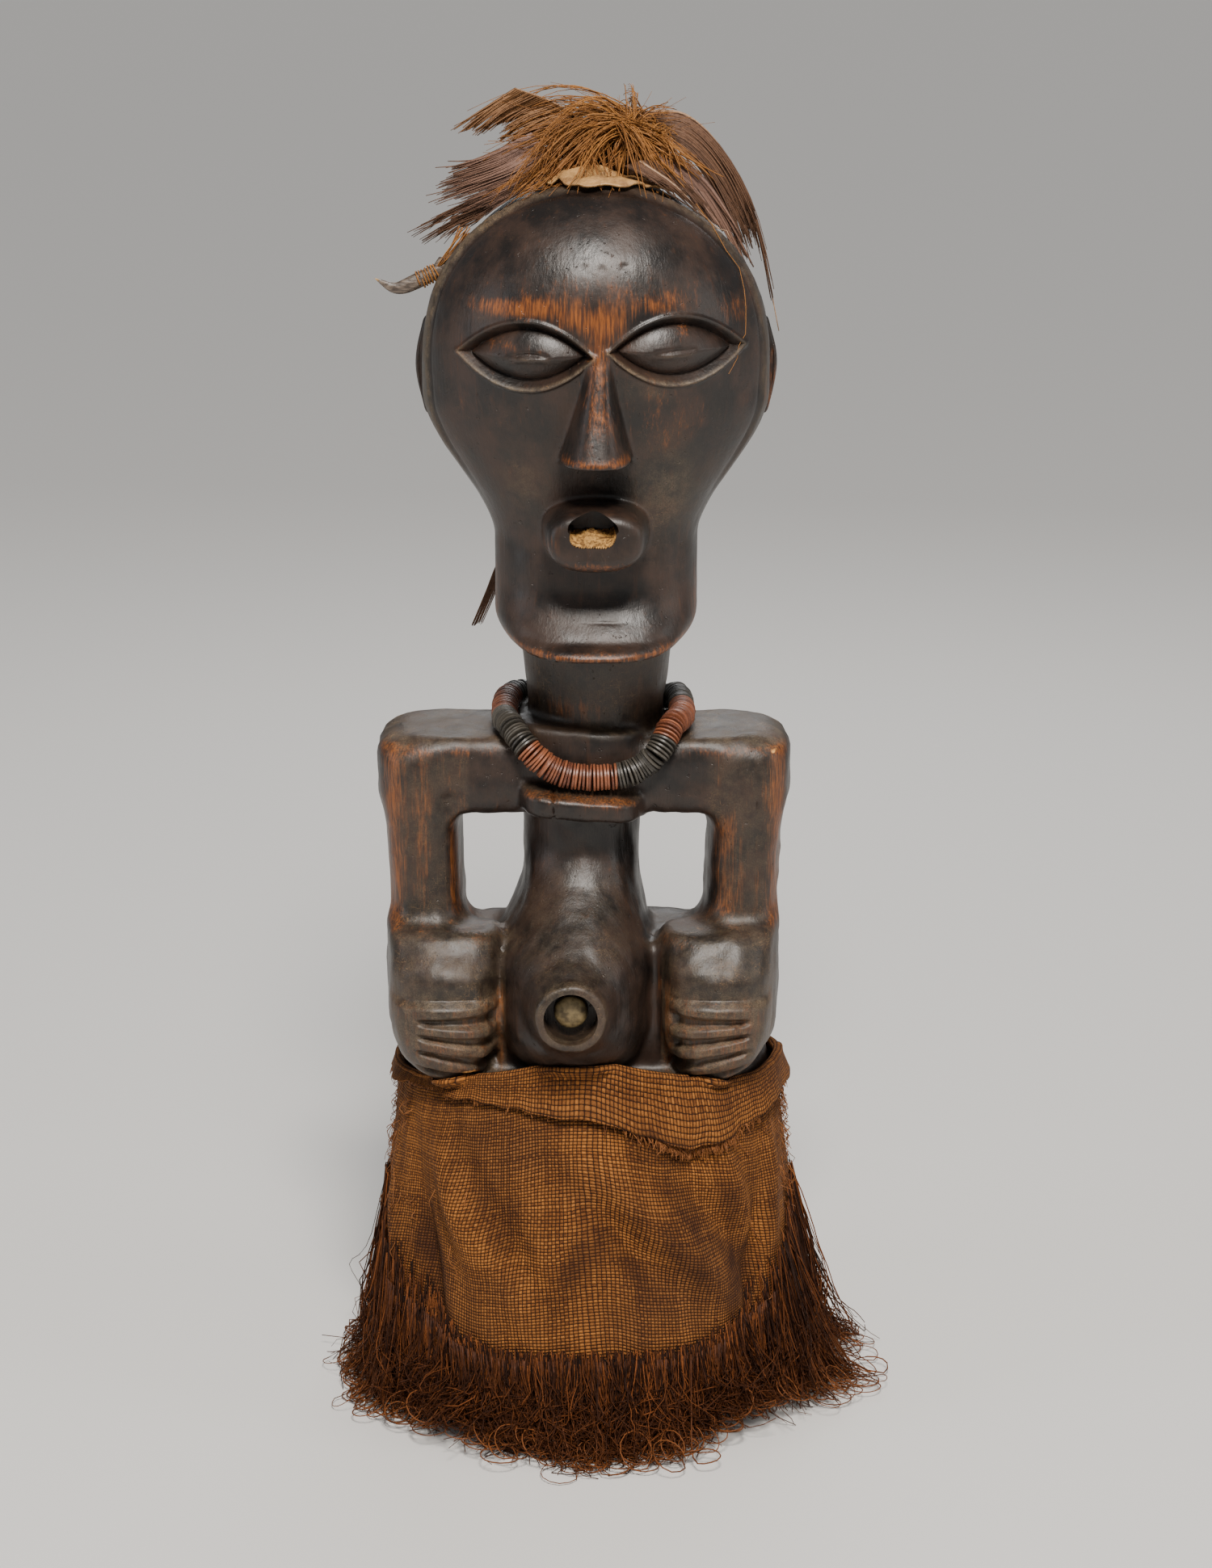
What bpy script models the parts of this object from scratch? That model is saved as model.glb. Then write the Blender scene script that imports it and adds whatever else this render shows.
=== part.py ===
"""Songye power figure: a carved wooden figure with a feather headdress, a necklace of disc
beads, a plug in its navel and a raffia skirt.

Run it with blender --background --python part.py, or from Blender's text editor.
Metres, +Z up. The figure faces -Y, and the origin is on the ground in the middle of its footprint.
"""

import math

import bmesh
import bpy
import numpy as np
from mathutils import Matrix, Vector

# Driving dimensions, in metres
FIGURE_HEIGHT = 0.706  # the carved wood, from the ground to the crown of the head
PLINTH_RADIUS = 0.092
PLINTH_HEIGHT = 0.028
NAVEL_RECESS_RADIUS = 0.015
NAVEL_RECESS_DEPTH = 0.018
PLUG_RADIUS = 0.0093
PLUG_SEAT_DEPTH = 0.008
PLUG_PROUD = 0.004  # how far the plug's edge stands out of its seat, below its dome
PLUG_DOME = 0.003
MOUTH_HALF_WIDTH = 0.0135
MOUTH_HALF_HEIGHT = 0.0098
MOUTH_DEPTH = 0.022
BEAD_RADIUS = 0.0076
BEAD_RUN_SHARES = (0.150, 0.095, 0.140, 0.150, 0.110, 0.120, 0.130, 0.105)  # one colour each
FRONT_RUN_START = -0.118  # share of the string from its lowest point to the end of the front run
CLOTH_THICKNESS = 0.003
FLAP_THICKNESS = 0.003  # the waist of the cloth folded down over itself
WAIST_HEIGHT = 0.1970
FLAP_DEPTH = 0.013  # how far down the folded waist reaches, on average
HEM_HEIGHT = 0.050
HEM_HALF_WIDTH = 0.122
HEM_HALF_DEPTH = 0.118
FRINGE_HALF_WIDTH = 0.168
FRINGE_HALF_DEPTH = 0.160
FRINGE_THICKNESS = 0.011
FRINGE_X = 0.010  # the fringe spreads further to one side of the figure
FOLD_HEIGHT = 0.0022
FEATHER_THICKNESS = 0.0012
HIDE_THICKNESS = 0.0022
CLEARANCE = 0.0003  # between pieces that touch
CLOTH_CLEARANCE = 0.001  # between the cloth and its fringe, whose facets don't run quite alike
WOOD_CLEARANCE = 0.0009  # to the carved wood, whose facets stray a little from its true surface

# How finely the carving is meshed
SKIRT_SIDES = 40
CARVING_VOXEL = 0.0033
CARVING_STEPS = 7
WOOD_TRIANGLES = 5000

WOOD = ("dark_wood", (0.045, 0.026, 0.018), 0.38, 0.0)
PLUG = ("plug_wood", (0.20, 0.15, 0.07), 0.6, 0.0)
RED_BEAD = ("red_bead", (0.20, 0.055, 0.03), 0.45, 0.0)
BLACK_BEAD = ("black_bead", (0.035, 0.032, 0.028), 0.4, 0.0)
RAFFIA_CLOTH = ("raffia_cloth", (0.27, 0.12, 0.035), 0.85, 0.0)
RAFFIA_FIBRE = ("raffia_fibre", (0.16, 0.06, 0.02), 0.8, 0.0)
TUFT = ("tuft_fibre", (0.42, 0.22, 0.07), 0.7, 0.0)
HIDE = ("hide", (0.62, 0.43, 0.22), 0.65, 0.0)
FEATHER = ("feather", (0.20, 0.13, 0.10), 0.6, 0.0)
CLAW = ("claw", (0.22, 0.17, 0.14), 0.45, 0.0)


def carved(millimetres):
    """A size of the carving, as its share of the figure's height: millimetres at 706 mm tall."""
    return millimetres / 706.0 * FIGURE_HEIGHT


# The carving's levels above the ground and its sizes, as shares of the figure's height
CROWN_Z = carved(706)
CROWN_CAP = carved(3)  # the dome is cut this far below its pole
WIDEST_Z = carved(606)
FOREHEAD_Z = carved(640)
EYE_Z = carved(620)
NOSE_TOP_Z = carved(637)
NOSE_BASE_Z = carved(563)
MOUTH_Z = carved(523)
JAW_Z = carved(510)
CHEEK_Z = carved(592)
CHIN_Z = carved(453)
SHOULDER_TOP_Z = carved(396)
CHEST_BASE_Z = carved(354)
ARMPIT_Z = carved(352)
LEDGE_Z = carved(287)
NAVEL_Z = carved(254)
HAND_BASE_Z = carved(199)
HIP_TOP_Z = carved(203)
CROTCH_Z = carved(112)

HEAD_X = carved(4.5)
HEAD_Y = carved(-20)
TEMPLE_HALF_WIDTH = carved(95)
JAW_HALF_WIDTH = carved(56)
NECK_RADIUS = carved(40)
SHOULDER_HALF_WIDTH = carved(113)
TORSO_X = carved(-4)
NAVEL_X = carved(-9.5)
NAVEL_Y = carved(-107)
MOUTH_Y = carved(-106)
NOSE_TIP_Y = carved(-118)
ARM_X = carved(88)
FOREARM_X = carved(77)
HIP_HALF_WIDTH = carved(104)
HIP_FRONT = carved(80)
HIP_BACK = carved(70)
HIP_POWER = 2.4
LEG_X = carved(47)
EYE_MIDDLE_X = carved(7.5)
EYE_APART = carved(40)
EYE_HALF_LENGTH = carved(36)
EYE_HALF_HEIGHT = carved(18)


def ramp(value, low, high):
    """0 below low, 1 above high, and smooth between them."""
    share = np.clip((value - low) / (high - low), 0.0, 1.0)
    return share * share * (3.0 - 2.0 * share)


def dome(value, start, end, power=2.0):
    """1 at start, closing to 0 at end along a superellipse."""
    share = np.clip((value - start) / (end - start), 0.0, 1.0)
    return (1.0 - share**power) ** (1.0 / power)


def bump(value, centre, width):
    """A smooth bump of height 1 at centre."""
    return np.exp(-(((value - centre) / width) ** 2))


def smooth_min(a, b, radius):
    """The lower of two values, blended where they are within radius of each other."""
    share = np.clip(0.5 + 0.5 * (b - a) / radius, 0.0, 1.0)
    return b + (a - b) * share - radius * share * (1.0 - share)


class Mass:
    """One block of the carving: superellipse sections stacked from bottom to top.

    section(level) gives centre x, centre y, half width, front depth, back depth and power.
    Sections stack along Z or, where forward is set, along -Y with Z as their depth.
    """

    def __init__(self, bottom, top, section, rounding, blend, forward=False):
        self.bottom = bottom
        self.top = top
        self.section = section
        self.rounding = rounding
        self.blend = blend
        self.forward = forward

    def sizes(self, level):
        level = np.clip(level, self.bottom, self.top)
        return [np.broadcast_to(np.asarray(v, float), level.shape) for v in self.section(level)]

    def distance(self, points):
        """Roughly how far each point is outside the mass; negative inside it."""
        x, y, z = points.T
        if self.forward:
            y, z = z, -y
        centre_x, centre_y, half_width, front, back, power = self.sizes(z)
        across = x - centre_x
        along = y - centre_y
        half_width = np.maximum(half_width, 1e-4)
        depth = np.maximum(np.where(along < 0.0, front, back), 1e-4)
        reach = np.abs(across / half_width) ** power + np.abs(along / depth) ** power
        reach = np.maximum(reach, 1e-9) ** (1.0 / power)
        radius = np.maximum(np.hypot(across, along), 1e-9)
        side = radius - radius / reach
        ends = np.maximum(z - self.top, self.bottom - z)
        return -smooth_min(-side, -ends, self.rounding)

    def add_block(self, bm, rings=14, sides=20):
        """Adds the mass to bm as a closed block of rings, from which the carving starts."""
        levels = np.linspace(self.bottom, self.top, rings)
        turns = np.linspace(0.0, 2.0 * math.pi, sides, endpoint=False)
        loops = []
        for level, sizes in zip(levels, zip(*self.sizes(levels))):
            centre_x, centre_y, half_width, front, back, power = sizes
            loop = []
            for turn in turns:
                cosine = math.cos(turn)
                sine = math.sin(turn)
                depth = front if sine < 0.0 else back
                x = centre_x + max(half_width, 1e-4) * math.copysign(abs(cosine) ** (2 / power), cosine)
                y = centre_y + max(depth, 1e-4) * math.copysign(abs(sine) ** (2 / power), sine)
                loop.append(bm.verts.new((x, -level, y) if self.forward else (x, y, level)))
            loops.append(loop)
        faces = [bm.faces.new(loops[0]), bm.faces.new(loops[-1])]
        for low, high in zip(loops, loops[1:]):
            for i in range(sides):
                j = (i + 1) % sides
                faces.append(bm.faces.new((low[i], low[j], high[j], high[i])))
        bmesh.ops.recalc_face_normals(bm, faces=faces)


def head():
    """The head: a domed forehead, a face that narrows to the jaw, and a square beard that flares."""

    def section(z):
        temple = ramp(z, JAW_Z, CHEEK_Z)
        half_width = JAW_HALF_WIDTH + (TEMPLE_HALF_WIDTH - JAW_HALF_WIDTH) * temple
        half_width = half_width * dome(z, WIDEST_Z, CROWN_Z + CROWN_CAP, 2.1)
        half_width = half_width - carved(13) * np.clip((carved(472) - z) / carved(19), 0.0, 1.0) ** 2.2
        chin = np.clip((carved(490) - z) / carved(37), 0.0, 1.0) ** 2
        front = carved(50) + carved(31) * ramp(z, carved(505), FOREHEAD_Z) + carved(26) * chin
        front = front * dome(z, FOREHEAD_Z, CROWN_Z + CROWN_CAP, 2.1)
        back = carved(62) + carved(34) * ramp(z, carved(490), carved(600))
        back = back * dome(z, carved(615), CROWN_Z + CROWN_CAP, 2.2)
        power = 2.9 - 0.7 * ramp(z, carved(500), carved(600))
        return HEAD_X, HEAD_Y, half_width, front, back, power

    return Mass(CHIN_Z, CROWN_Z, section, carved(5), carved(3))


def neck():
    def section(z):
        radius = NECK_RADIUS * (0.93 + 0.14 * ramp(z, carved(390), carved(455)))
        return HEAD_X, carved(3), radius, radius, radius, 2.0

    return Mass(carved(380), carved(475), section, carved(4), carved(4))


def nose():
    """A long wedge that widens and stands further out towards its flat base."""

    def section(z):
        down = np.clip((NOSE_TOP_Z - z) / (NOSE_TOP_Z - NOSE_BASE_Z), 0.0, 1.0)
        half_width = carved(7.5) + carved(12.5) * down**1.8
        middle_x = HEAD_X + (EYE_MIDDLE_X - HEAD_X) * (1.0 - down)
        root_y = carved(-66)
        tip = (root_y - NOSE_TIP_Y) - carved(21) * (1.0 - down) ** 0.9
        return middle_x, root_y, half_width, tip, carved(20), 3.0

    return Mass(NOSE_BASE_Z, NOSE_TOP_Z, section, carved(2.5), carved(4.5))


def mouth():
    """The ring of the lips, standing out from the face."""

    def section(forward):
        swell = 1.0 + 0.10 * ramp(forward, carved(100), carved(76))
        return HEAD_X, MOUTH_Z, carved(27) * swell, carved(19) * swell, carved(16) * swell, 2.5

    return Mass(carved(55), -MOUTH_Y, section, carved(9), carved(6), forward=True)


def ear(side):
    def section(z):
        out = carved(88) + carved(9) * bump(z, carved(598), carved(27))
        return HEAD_X + side * out, carved(16), carved(9), carved(8), carved(11), 2.4

    return Mass(carved(566), carved(630), section, carved(7), carved(3))


def chest():
    """The plate below the neck, whose lower edge is a bar that stands forward."""

    def section(z):
        front = carved(44) + carved(18) * ramp(z, carved(373), carved(364))
        return TORSO_X, 0.0, carved(36), front, carved(34), 4.5

    return Mass(CHEST_BASE_Z, carved(402), section, carved(5), carved(5))


def shoulders():
    def section(z):
        return carved(-2.5), carved(-2), SHOULDER_HALF_WIDTH, carved(40), carved(36), 5.0

    return Mass(ARMPIT_Z, SHOULDER_TOP_Z, section, carved(17), carved(6))


def upper_arm(side):
    def section(z):
        lean = carved(4.5) * ramp(z, carved(240), carved(390))
        return side * (ARM_X + lean) - carved(2.5), carved(-4), carved(21), carved(38), carved(32), 3.2

    return Mass(carved(222), carved(386), section, carved(8), carved(9))


def forearm(side):
    """The forearm and hand: a slab with a rounded lower end, laid against the belly."""

    def section(z):
        close = dome(-z, -carved(240), -HAND_BASE_Z, 2.2)
        drift = carved(8) * (1.0 - close)
        centre_x = side * (FOREARM_X - drift) - carved(4)
        front = carved(28) + carved(13) * ramp(z, carved(288), carved(262))
        front = front + carved(6) * ramp(z, carved(254), carved(248))
        front = front * (0.4 + 0.6 * close)
        back = carved(12) + carved(46) * ramp(z, carved(282), carved(255))
        back = back * (0.6 + 0.4 * close)
        return centre_x, carved(-32), carved(32) * close, front, back, 3.0

    return Mass(HAND_BASE_Z, LEDGE_Z, section, carved(5), carved(4))


def torso():
    """The waist, which swells forward to the belly."""

    def section(z):
        belly = ramp(z, carved(335), carved(262)) * dome(-z, -carved(245), -carved(203), 2.0)
        centre_x = TORSO_X + carved(-4) * ramp(z, carved(320), carved(260))
        half_width = carved(33) + carved(14) * ramp(z, carved(318), carved(262)) * (0.4 + 0.6 * belly)
        front = carved(40) + carved(57) * belly**1.15
        return centre_x, 0.0, half_width, front, carved(32), 2.3

    return Mass(carved(203), carved(365), section, carved(8), carved(5))


def navel_rim():
    def section(forward):
        radius = carved(20.5) + carved(8) * ramp(forward, carved(104), carved(88))
        return NAVEL_X, NAVEL_Z, radius, radius, radius, 2.0

    return Mass(carved(50), -NAVEL_Y, section, carved(3), carved(5), forward=True)


def lap():
    """The block behind the belly and the hands, which joins them."""

    def section(z):
        half_width = carved(74) + carved(14) * ramp(z, carved(265), carved(215))
        return carved(-2.5), carved(-2), half_width, carved(48), carved(32), 3.2

    return Mass(carved(190), LEDGE_Z - carved(9), section, carved(9), carved(8))


def hips():
    def section(z):
        lower = ramp(z, HIP_TOP_Z, carved(160))
        front = carved(68) + (HIP_FRONT - carved(68)) * lower
        back = carved(52) + (HIP_BACK - carved(52)) * lower
        return 0.0, 0.0, HIP_HALF_WIDTH, front, back, HIP_POWER

    return Mass(CROTCH_Z, HIP_TOP_Z, section, carved(7), carved(5))


def leg(side):
    """A short bent leg: the knee forward, the calf back."""

    def section(z):
        knee = bump(z, carved(105), carved(24))
        calf = bump(z, carved(66), carved(20))
        return (
            side * LEG_X,
            carved(2) * (1.0 - knee),
            carved(37) + carved(4) * knee,
            carved(36) + carved(20) * knee,
            carved(42) + carved(14) * calf,
            2.6,
        )

    return Mass(PLINTH_HEIGHT - carved(8), carved(150), section, carved(6), carved(8))


def foot(side):
    def section(z):
        instep = ramp(z, PLINTH_HEIGHT + carved(24), PLINTH_HEIGHT + carved(6))
        return side * LEG_X, 0.0, carved(33), carved(46) + carved(28) * instep, carved(46), 2.8

    return Mass(PLINTH_HEIGHT - carved(8), PLINTH_HEIGHT + carved(26), section, carved(6), carved(6))


def plinth():
    def section(z):
        return 0.0, 0.0, PLINTH_RADIUS, PLINTH_RADIUS, PLINTH_RADIUS, 2.0

    return Mass(-carved(14), PLINTH_HEIGHT, section, carved(3), carved(4))


def figure_masses():
    masses = [plinth(), hips(), lap(), torso(), navel_rim(), chest()]
    masses += [shoulders(), neck(), head(), nose(), mouth()]
    for limb in (foot, leg, forearm, upper_arm, ear):
        masses += [limb(-1.0), limb(1.0)]
    return masses


def eye_relief(x, z):
    """An almond socket cut round a bulging lid, with a low lip outside it."""
    relief = np.zeros_like(x)
    for side in (-1.0, 1.0):
        along = (x - EYE_MIDDLE_X - side * EYE_APART) / EYE_HALF_LENGTH
        above = np.abs(z - EYE_Z) - EYE_HALF_HEIGHT * np.clip(1.0 - along**2, 0.0, 1.0)
        beyond = EYE_HALF_LENGTH * np.clip(np.abs(along) - 1.0, 0.0, 1.0)
        outside = np.hypot(above, beyond) * np.sign(above)
        inside = np.clip(-outside / EYE_HALF_HEIGHT, 0.0, 1.0)
        relief += carved(6) * np.sqrt(inside)
        relief -= carved(5) * bump(outside, carved(-0.5), carved(3.2)) * (np.abs(along) < 1.04)
    return relief


def finger_relief(x, z):
    """Four grooves part the five fingers of each hand; the lower ones rise outwards."""
    relief = np.zeros_like(x)
    grooves = ((241.0, 0.0), (228.0, 0.10), (214.5, 0.17), (202.5, 0.22))
    for side in (-1.0, 1.0):
        outward = side * (x + carved(2.5)) - carved(48)
        within = ramp(outward, carved(0), carved(5)) * ramp(outward, carved(49), carved(43))
        for level, slope in grooves:
            relief -= carved(3.2) * bump(z, carved(level) + slope * outward, carved(2.4)) * within
    return relief


def face_rim_relief(points):
    """The edge of the face, like that of a mask: a groove in front of it and a step down behind."""
    x, y, z = points.T
    rim_y = carved(-18) - carved(34) * ramp(z, carved(612), carved(700))
    height = ramp(z, carved(500), carved(560))
    step = carved(4.5) * ramp(y, rim_y + carved(2), rim_y + carved(8))
    groove = carved(1.8) * bump(y, rim_y - carved(9), carved(3.5))
    return -(step + groove) * height


def spine_relief(points):
    """A shallow furrow down the middle of the back."""
    x, y, z = points.T
    within = ramp(z, carved(215), carved(245)) * ramp(z, carved(392), carved(370))
    within = within * ramp(y, carved(15), carved(28))
    return -carved(3.5) * bump(x, TORSO_X, carved(6)) * within


def relief(points):
    """How far the carved detail stands out from the blended masses."""
    x, y, z = points.T
    facing = ramp(-y, carved(30), carved(52))
    detail = eye_relief(x, z) * facing * (z > carved(590)) * (z < carved(645))
    detail += finger_relief(x, z) * facing * ramp(z, carved(262), carved(254))
    detail += face_rim_relief(points) * (z > carved(495))
    detail += spine_relief(points)
    return detail


def figure_distance(points, masses):
    """Roughly how far each point is outside the carved figure."""
    distance = masses[0].distance(points)
    for mass in masses[1:]:
        distance = smooth_min(distance, mass.distance(points), mass.blend)
    return distance - relief(points)


def gap_and_normal(points, masses):
    """Each point's gap to the figure, and the unit direction straight away from it."""
    probe = 2e-4
    value = figure_distance(points, masses)
    slope = np.stack(
        [(figure_distance(points + probe * axis, masses) - value) / probe for axis in np.eye(3)], axis=1
    )
    steepness = np.maximum(np.linalg.norm(slope, axis=1), 0.5)
    return value / steepness, slope / steepness[:, None]


def onto_figure(points, masses, offset=0.0, steps=CARVING_STEPS):
    """Moves points straight towards the figure or away from it, until they lie offset outside it."""
    points = np.array(points, float)
    longest = 0.004
    for _ in range(steps):
        gap, normal = gap_and_normal(points, masses)
        points -= np.clip(gap - offset, -longest, longest)[:, None] * normal
    return points


def drop_onto(points, masses):
    """Moves points straight down from above the crown until they touch the head."""
    points = points.copy()
    low = np.full(len(points), WIDEST_Z)
    high = np.full(len(points), CROWN_Z + carved(20))
    for _ in range(20):
        middle = (low + high) / 2.0
        points[:, 2] = middle
        inside = figure_distance(points, masses) < 0.0
        low = np.where(inside, middle, low)
        high = np.where(inside, high, middle)
    return points


def clear_scene():
    for obj in list(bpy.data.objects):
        bpy.data.objects.remove(obj, do_unlink=True)


def material(finish):
    name, colour, roughness, metallic = finish
    found = bpy.data.materials.get(name)
    if found:
        return found
    made = bpy.data.materials.new(name)
    made.use_nodes = True
    shader = made.node_tree.nodes["Principled BSDF"]
    shader.inputs["Base Color"].default_value = (*colour, 1.0)
    shader.inputs["Roughness"].default_value = roughness
    shader.inputs["Metallic"].default_value = metallic
    return made


def add_object(name, data, finish, collection):
    obj = bpy.data.objects.new(name, data)
    collection.objects.link(obj)
    if finish:
        data.materials.append(material(finish))
    return obj


def mesh_from(bm, name):
    mesh = bpy.data.meshes.new(name)
    bm.to_mesh(mesh)
    bm.free()
    return mesh


def evaluated_mesh(obj, name):
    bpy.context.view_layer.update()
    graph = bpy.context.evaluated_depsgraph_get()
    made = bpy.data.meshes.new_from_object(obj.evaluated_get(graph), depsgraph=graph)
    made.name = name
    return made


def bake_modifiers(obj):
    """Replaces the object's mesh with what its modifiers make of it."""
    baked = evaluated_mesh(obj, obj.name)
    obj.modifiers.clear()
    obj.data = baked


def cutter(name, radius_x, radius_z, depth, centre, collection):
    """A straight elliptical cutter along Y; centre is the middle of its front end."""
    overshoot = 0.03
    bm = bmesh.new()
    bmesh.ops.create_cone(
        bm, cap_ends=True, segments=24, radius1=1.0, radius2=1.0, depth=1.0,
        matrix=Matrix.Rotation(math.pi / 2, 4, "X"),
    )
    bmesh.ops.scale(bm, vec=(radius_x, depth + overshoot, radius_z), verts=bm.verts)
    bmesh.ops.translate(bm, vec=(0.0, (depth - overshoot) / 2, 0.0), verts=bm.verts)
    obj = add_object(name, mesh_from(bm, name), None, collection)
    obj.location = centre
    obj.hide_render = True
    obj.display_type = "WIRE"
    return obj


def ground_cutter(collection):
    """A slab whose top is the ground, to give the plinth a flat underside."""
    bm = bmesh.new()
    bmesh.ops.create_cube(bm, size=1.0)
    bmesh.ops.scale(bm, vec=(0.4, 0.4, 0.06), verts=bm.verts)
    bmesh.ops.translate(bm, vec=(0.0, 0.0, -0.03), verts=bm.verts)
    slab = add_object("ground", mesh_from(bm, "ground"), None, collection)
    slab.hide_render = True
    slab.display_type = "WIRE"
    return slab


def carve_figure(masses, collection, cutters):
    """Fuses the blocks, moves the skin onto the blended masses and bores the mouth and navel."""
    bm = bmesh.new()
    for mass in masses:
        mass.add_block(bm)
    figure = add_object("carved_figure", mesh_from(bm, "carved_figure"), WOOD, collection)
    fuse = figure.modifiers.new("Fuse", "REMESH")
    fuse.mode = "VOXEL"
    fuse.voxel_size = CARVING_VOXEL
    bake_modifiers(figure)

    mesh = figure.data
    points = np.empty(len(mesh.vertices) * 3)
    mesh.vertices.foreach_get("co", points)
    points = onto_figure(points.reshape(-1, 3), masses)
    mesh.vertices.foreach_set("co", points.ravel())
    mesh.update()

    thin = figure.modifiers.new("Thin", "DECIMATE")
    triangles = sum(len(face.vertices) - 2 for face in mesh.polygons)
    thin.ratio = min(1.0, WOOD_TRIANGLES / triangles)
    bake_modifiers(figure)

    bores = (
        ground_cutter(cutters),
        cutter(
            "mouth_bore", MOUTH_HALF_WIDTH, MOUTH_HALF_HEIGHT, MOUTH_DEPTH,
            (HEAD_X - carved(1.5), MOUTH_Y, MOUTH_Z + carved(5)), cutters,
        ),
        cutter(
            "navel_recess", NAVEL_RECESS_RADIUS, NAVEL_RECESS_RADIUS, NAVEL_RECESS_DEPTH,
            (NAVEL_X, NAVEL_Y, NAVEL_Z), cutters,
        ),
        cutter(
            "plug_seat", PLUG_RADIUS + CLEARANCE, PLUG_RADIUS + CLEARANCE,
            NAVEL_RECESS_DEPTH + PLUG_SEAT_DEPTH, (NAVEL_X, NAVEL_Y, NAVEL_Z), cutters,
        ),
    )
    for bore in bores:
        cut = figure.modifiers.new(bore.name, "BOOLEAN")
        cut.operation = "DIFFERENCE"
        cut.object = bore
    figure.data.shade_smooth()
    return figure


def navel_plug(collection):
    """A turned plug with a domed end, seated in the bore at the back of the navel."""
    length = PLUG_SEAT_DEPTH - CLEARANCE + PLUG_PROUD
    arc_steps = 5
    profile = [(0.0, -length), (PLUG_RADIUS, -length)]
    for step in range(arc_steps + 1):
        turn = step / arc_steps * math.pi / 2
        profile.append((PLUG_RADIUS * math.cos(turn), PLUG_DOME * math.sin(turn)))
    bm = bmesh.new()
    verts = [bm.verts.new((radius, 0.0, height)) for radius, height in reversed(profile)]
    for a, b in zip(verts, verts[1:]):
        bm.edges.new((a, b))
    plug = add_object("navel_plug", mesh_from(bm, "navel_plug"), PLUG, collection)
    turned = plug.modifiers.new("Turned", "SCREW")
    turned.steps = turned.render_steps = 14
    turned.use_merge_vertices = True
    turned.merge_threshold = 0.0001
    plug.rotation_euler = (math.pi / 2, 0.0, 0.0)
    seat_y = NAVEL_Y + NAVEL_RECESS_DEPTH + PLUG_SEAT_DEPTH
    plug.location = (NAVEL_X, seat_y - CLEARANCE - length, NAVEL_Z)
    return plug


def necklace_path(masses):
    """A closed loop of points for the string, lying on the shoulders and hanging over the chest."""
    half_width, half_depth, squareness = carved(49), carved(53), 3.0
    samples = 240
    points = []
    for step in range(samples):
        turn = 2.0 * math.pi * step / samples
        sine = math.sin(turn)
        cosine = math.cos(turn)
        x = half_width * math.copysign(abs(sine) ** (2 / squareness), sine)
        y = -half_depth * math.copysign(abs(cosine) ** (2 / squareness), cosine)
        droop = carved(26) * max(0.0, 1.0 - (abs(x) / carved(43)) ** 3) if y < 0.0 else 0.0
        points.append((HEAD_X + x, y, SHOULDER_TOP_Z + BEAD_RADIUS - droop))
    loop = np.array(points)
    clear = 1.04 * BEAD_RADIUS + WOOD_CLEARANCE
    for _ in range(4):
        loop = onto_figure(loop, masses, offset=clear, steps=2)
        for _ in range(6):
            loop = (np.roll(loop, 1, 0) + 2.0 * loop + np.roll(loop, -1, 0)) / 4.0
    for _ in range(6):
        loop = push_out(loop, masses, clear, steps=2)
        loop = (np.roll(loop, 1, 0) + 2.0 * loop + np.roll(loop, -1, 0)) / 4.0
    return push_out(loop, masses, clear, steps=2)


def push_out(points, masses, offset, steps=CARVING_STEPS):
    """Moves only the points that are nearer than offset to the wood."""
    points = np.array(points, float)
    for _ in range(steps):
        gap, normal = gap_and_normal(points, masses)
        points += np.maximum(offset - gap, 0.0)[:, None] * normal
    return points


def along_loop(loop, shares):
    """Points at these shares of a closed loop's length, and that length."""
    closed = np.vstack([loop, loop[:1]])
    steps = np.linalg.norm(np.diff(closed, axis=0), axis=1)
    length = np.concatenate([[0.0], np.cumsum(steps)])
    wanted = np.mod(shares, 1.0) * length[-1]
    found = [np.interp(wanted, length, closed[:, axis]) for axis in range(3)]
    return np.stack(found, axis=1), length[-1]


def tube(name, points, radii, finish, collection, resolution=2):
    """A round tube through the points, as a curve with filled caps."""
    curve = bpy.data.curves.new(name, "CURVE")
    curve.dimensions = "3D"
    curve.bevel_depth = 1.0
    curve.bevel_resolution = resolution
    curve.use_fill_caps = True
    spline = curve.splines.new("POLY")
    spline.points.add(len(points) - 1)
    for point, co, radius in zip(spline.points, points, radii):
        point.co = (*co, 1.0)
        point.radius = radius
    return add_object(name, curve, finish, collection)


def necklace(masses, collection):
    """Runs of disc beads, red and black in turn, each fused into one ridged tube."""
    loop = necklace_path(masses)
    _, length = along_loop(loop, np.array([0.0]))
    gap = 2.5 * CLEARANCE / length
    spacing = 0.006 / length
    square = 0.0015 / length  # a short first and last step, so that the ends are square to the string
    groove = 0.90
    start = FRONT_RUN_START
    for run, share in enumerate(BEAD_RUN_SHARES):
        rings = 2 * round(share / spacing / 2) + 1
        shares = np.linspace(start + gap, start + share - gap, rings)
        shares = np.insert(shares, [1, rings - 1], [shares[0] + square, shares[-1] - square])
        points, _ = along_loop(loop, shares)
        radii = np.full(rings + 2, BEAD_RADIUS)
        radii[2:-2:2] *= groove
        finish = BLACK_BEAD if run % 2 else RED_BEAD
        tube(f"necklace_run_{run + 1}", points, radii, finish, collection)
        start += share


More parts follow.
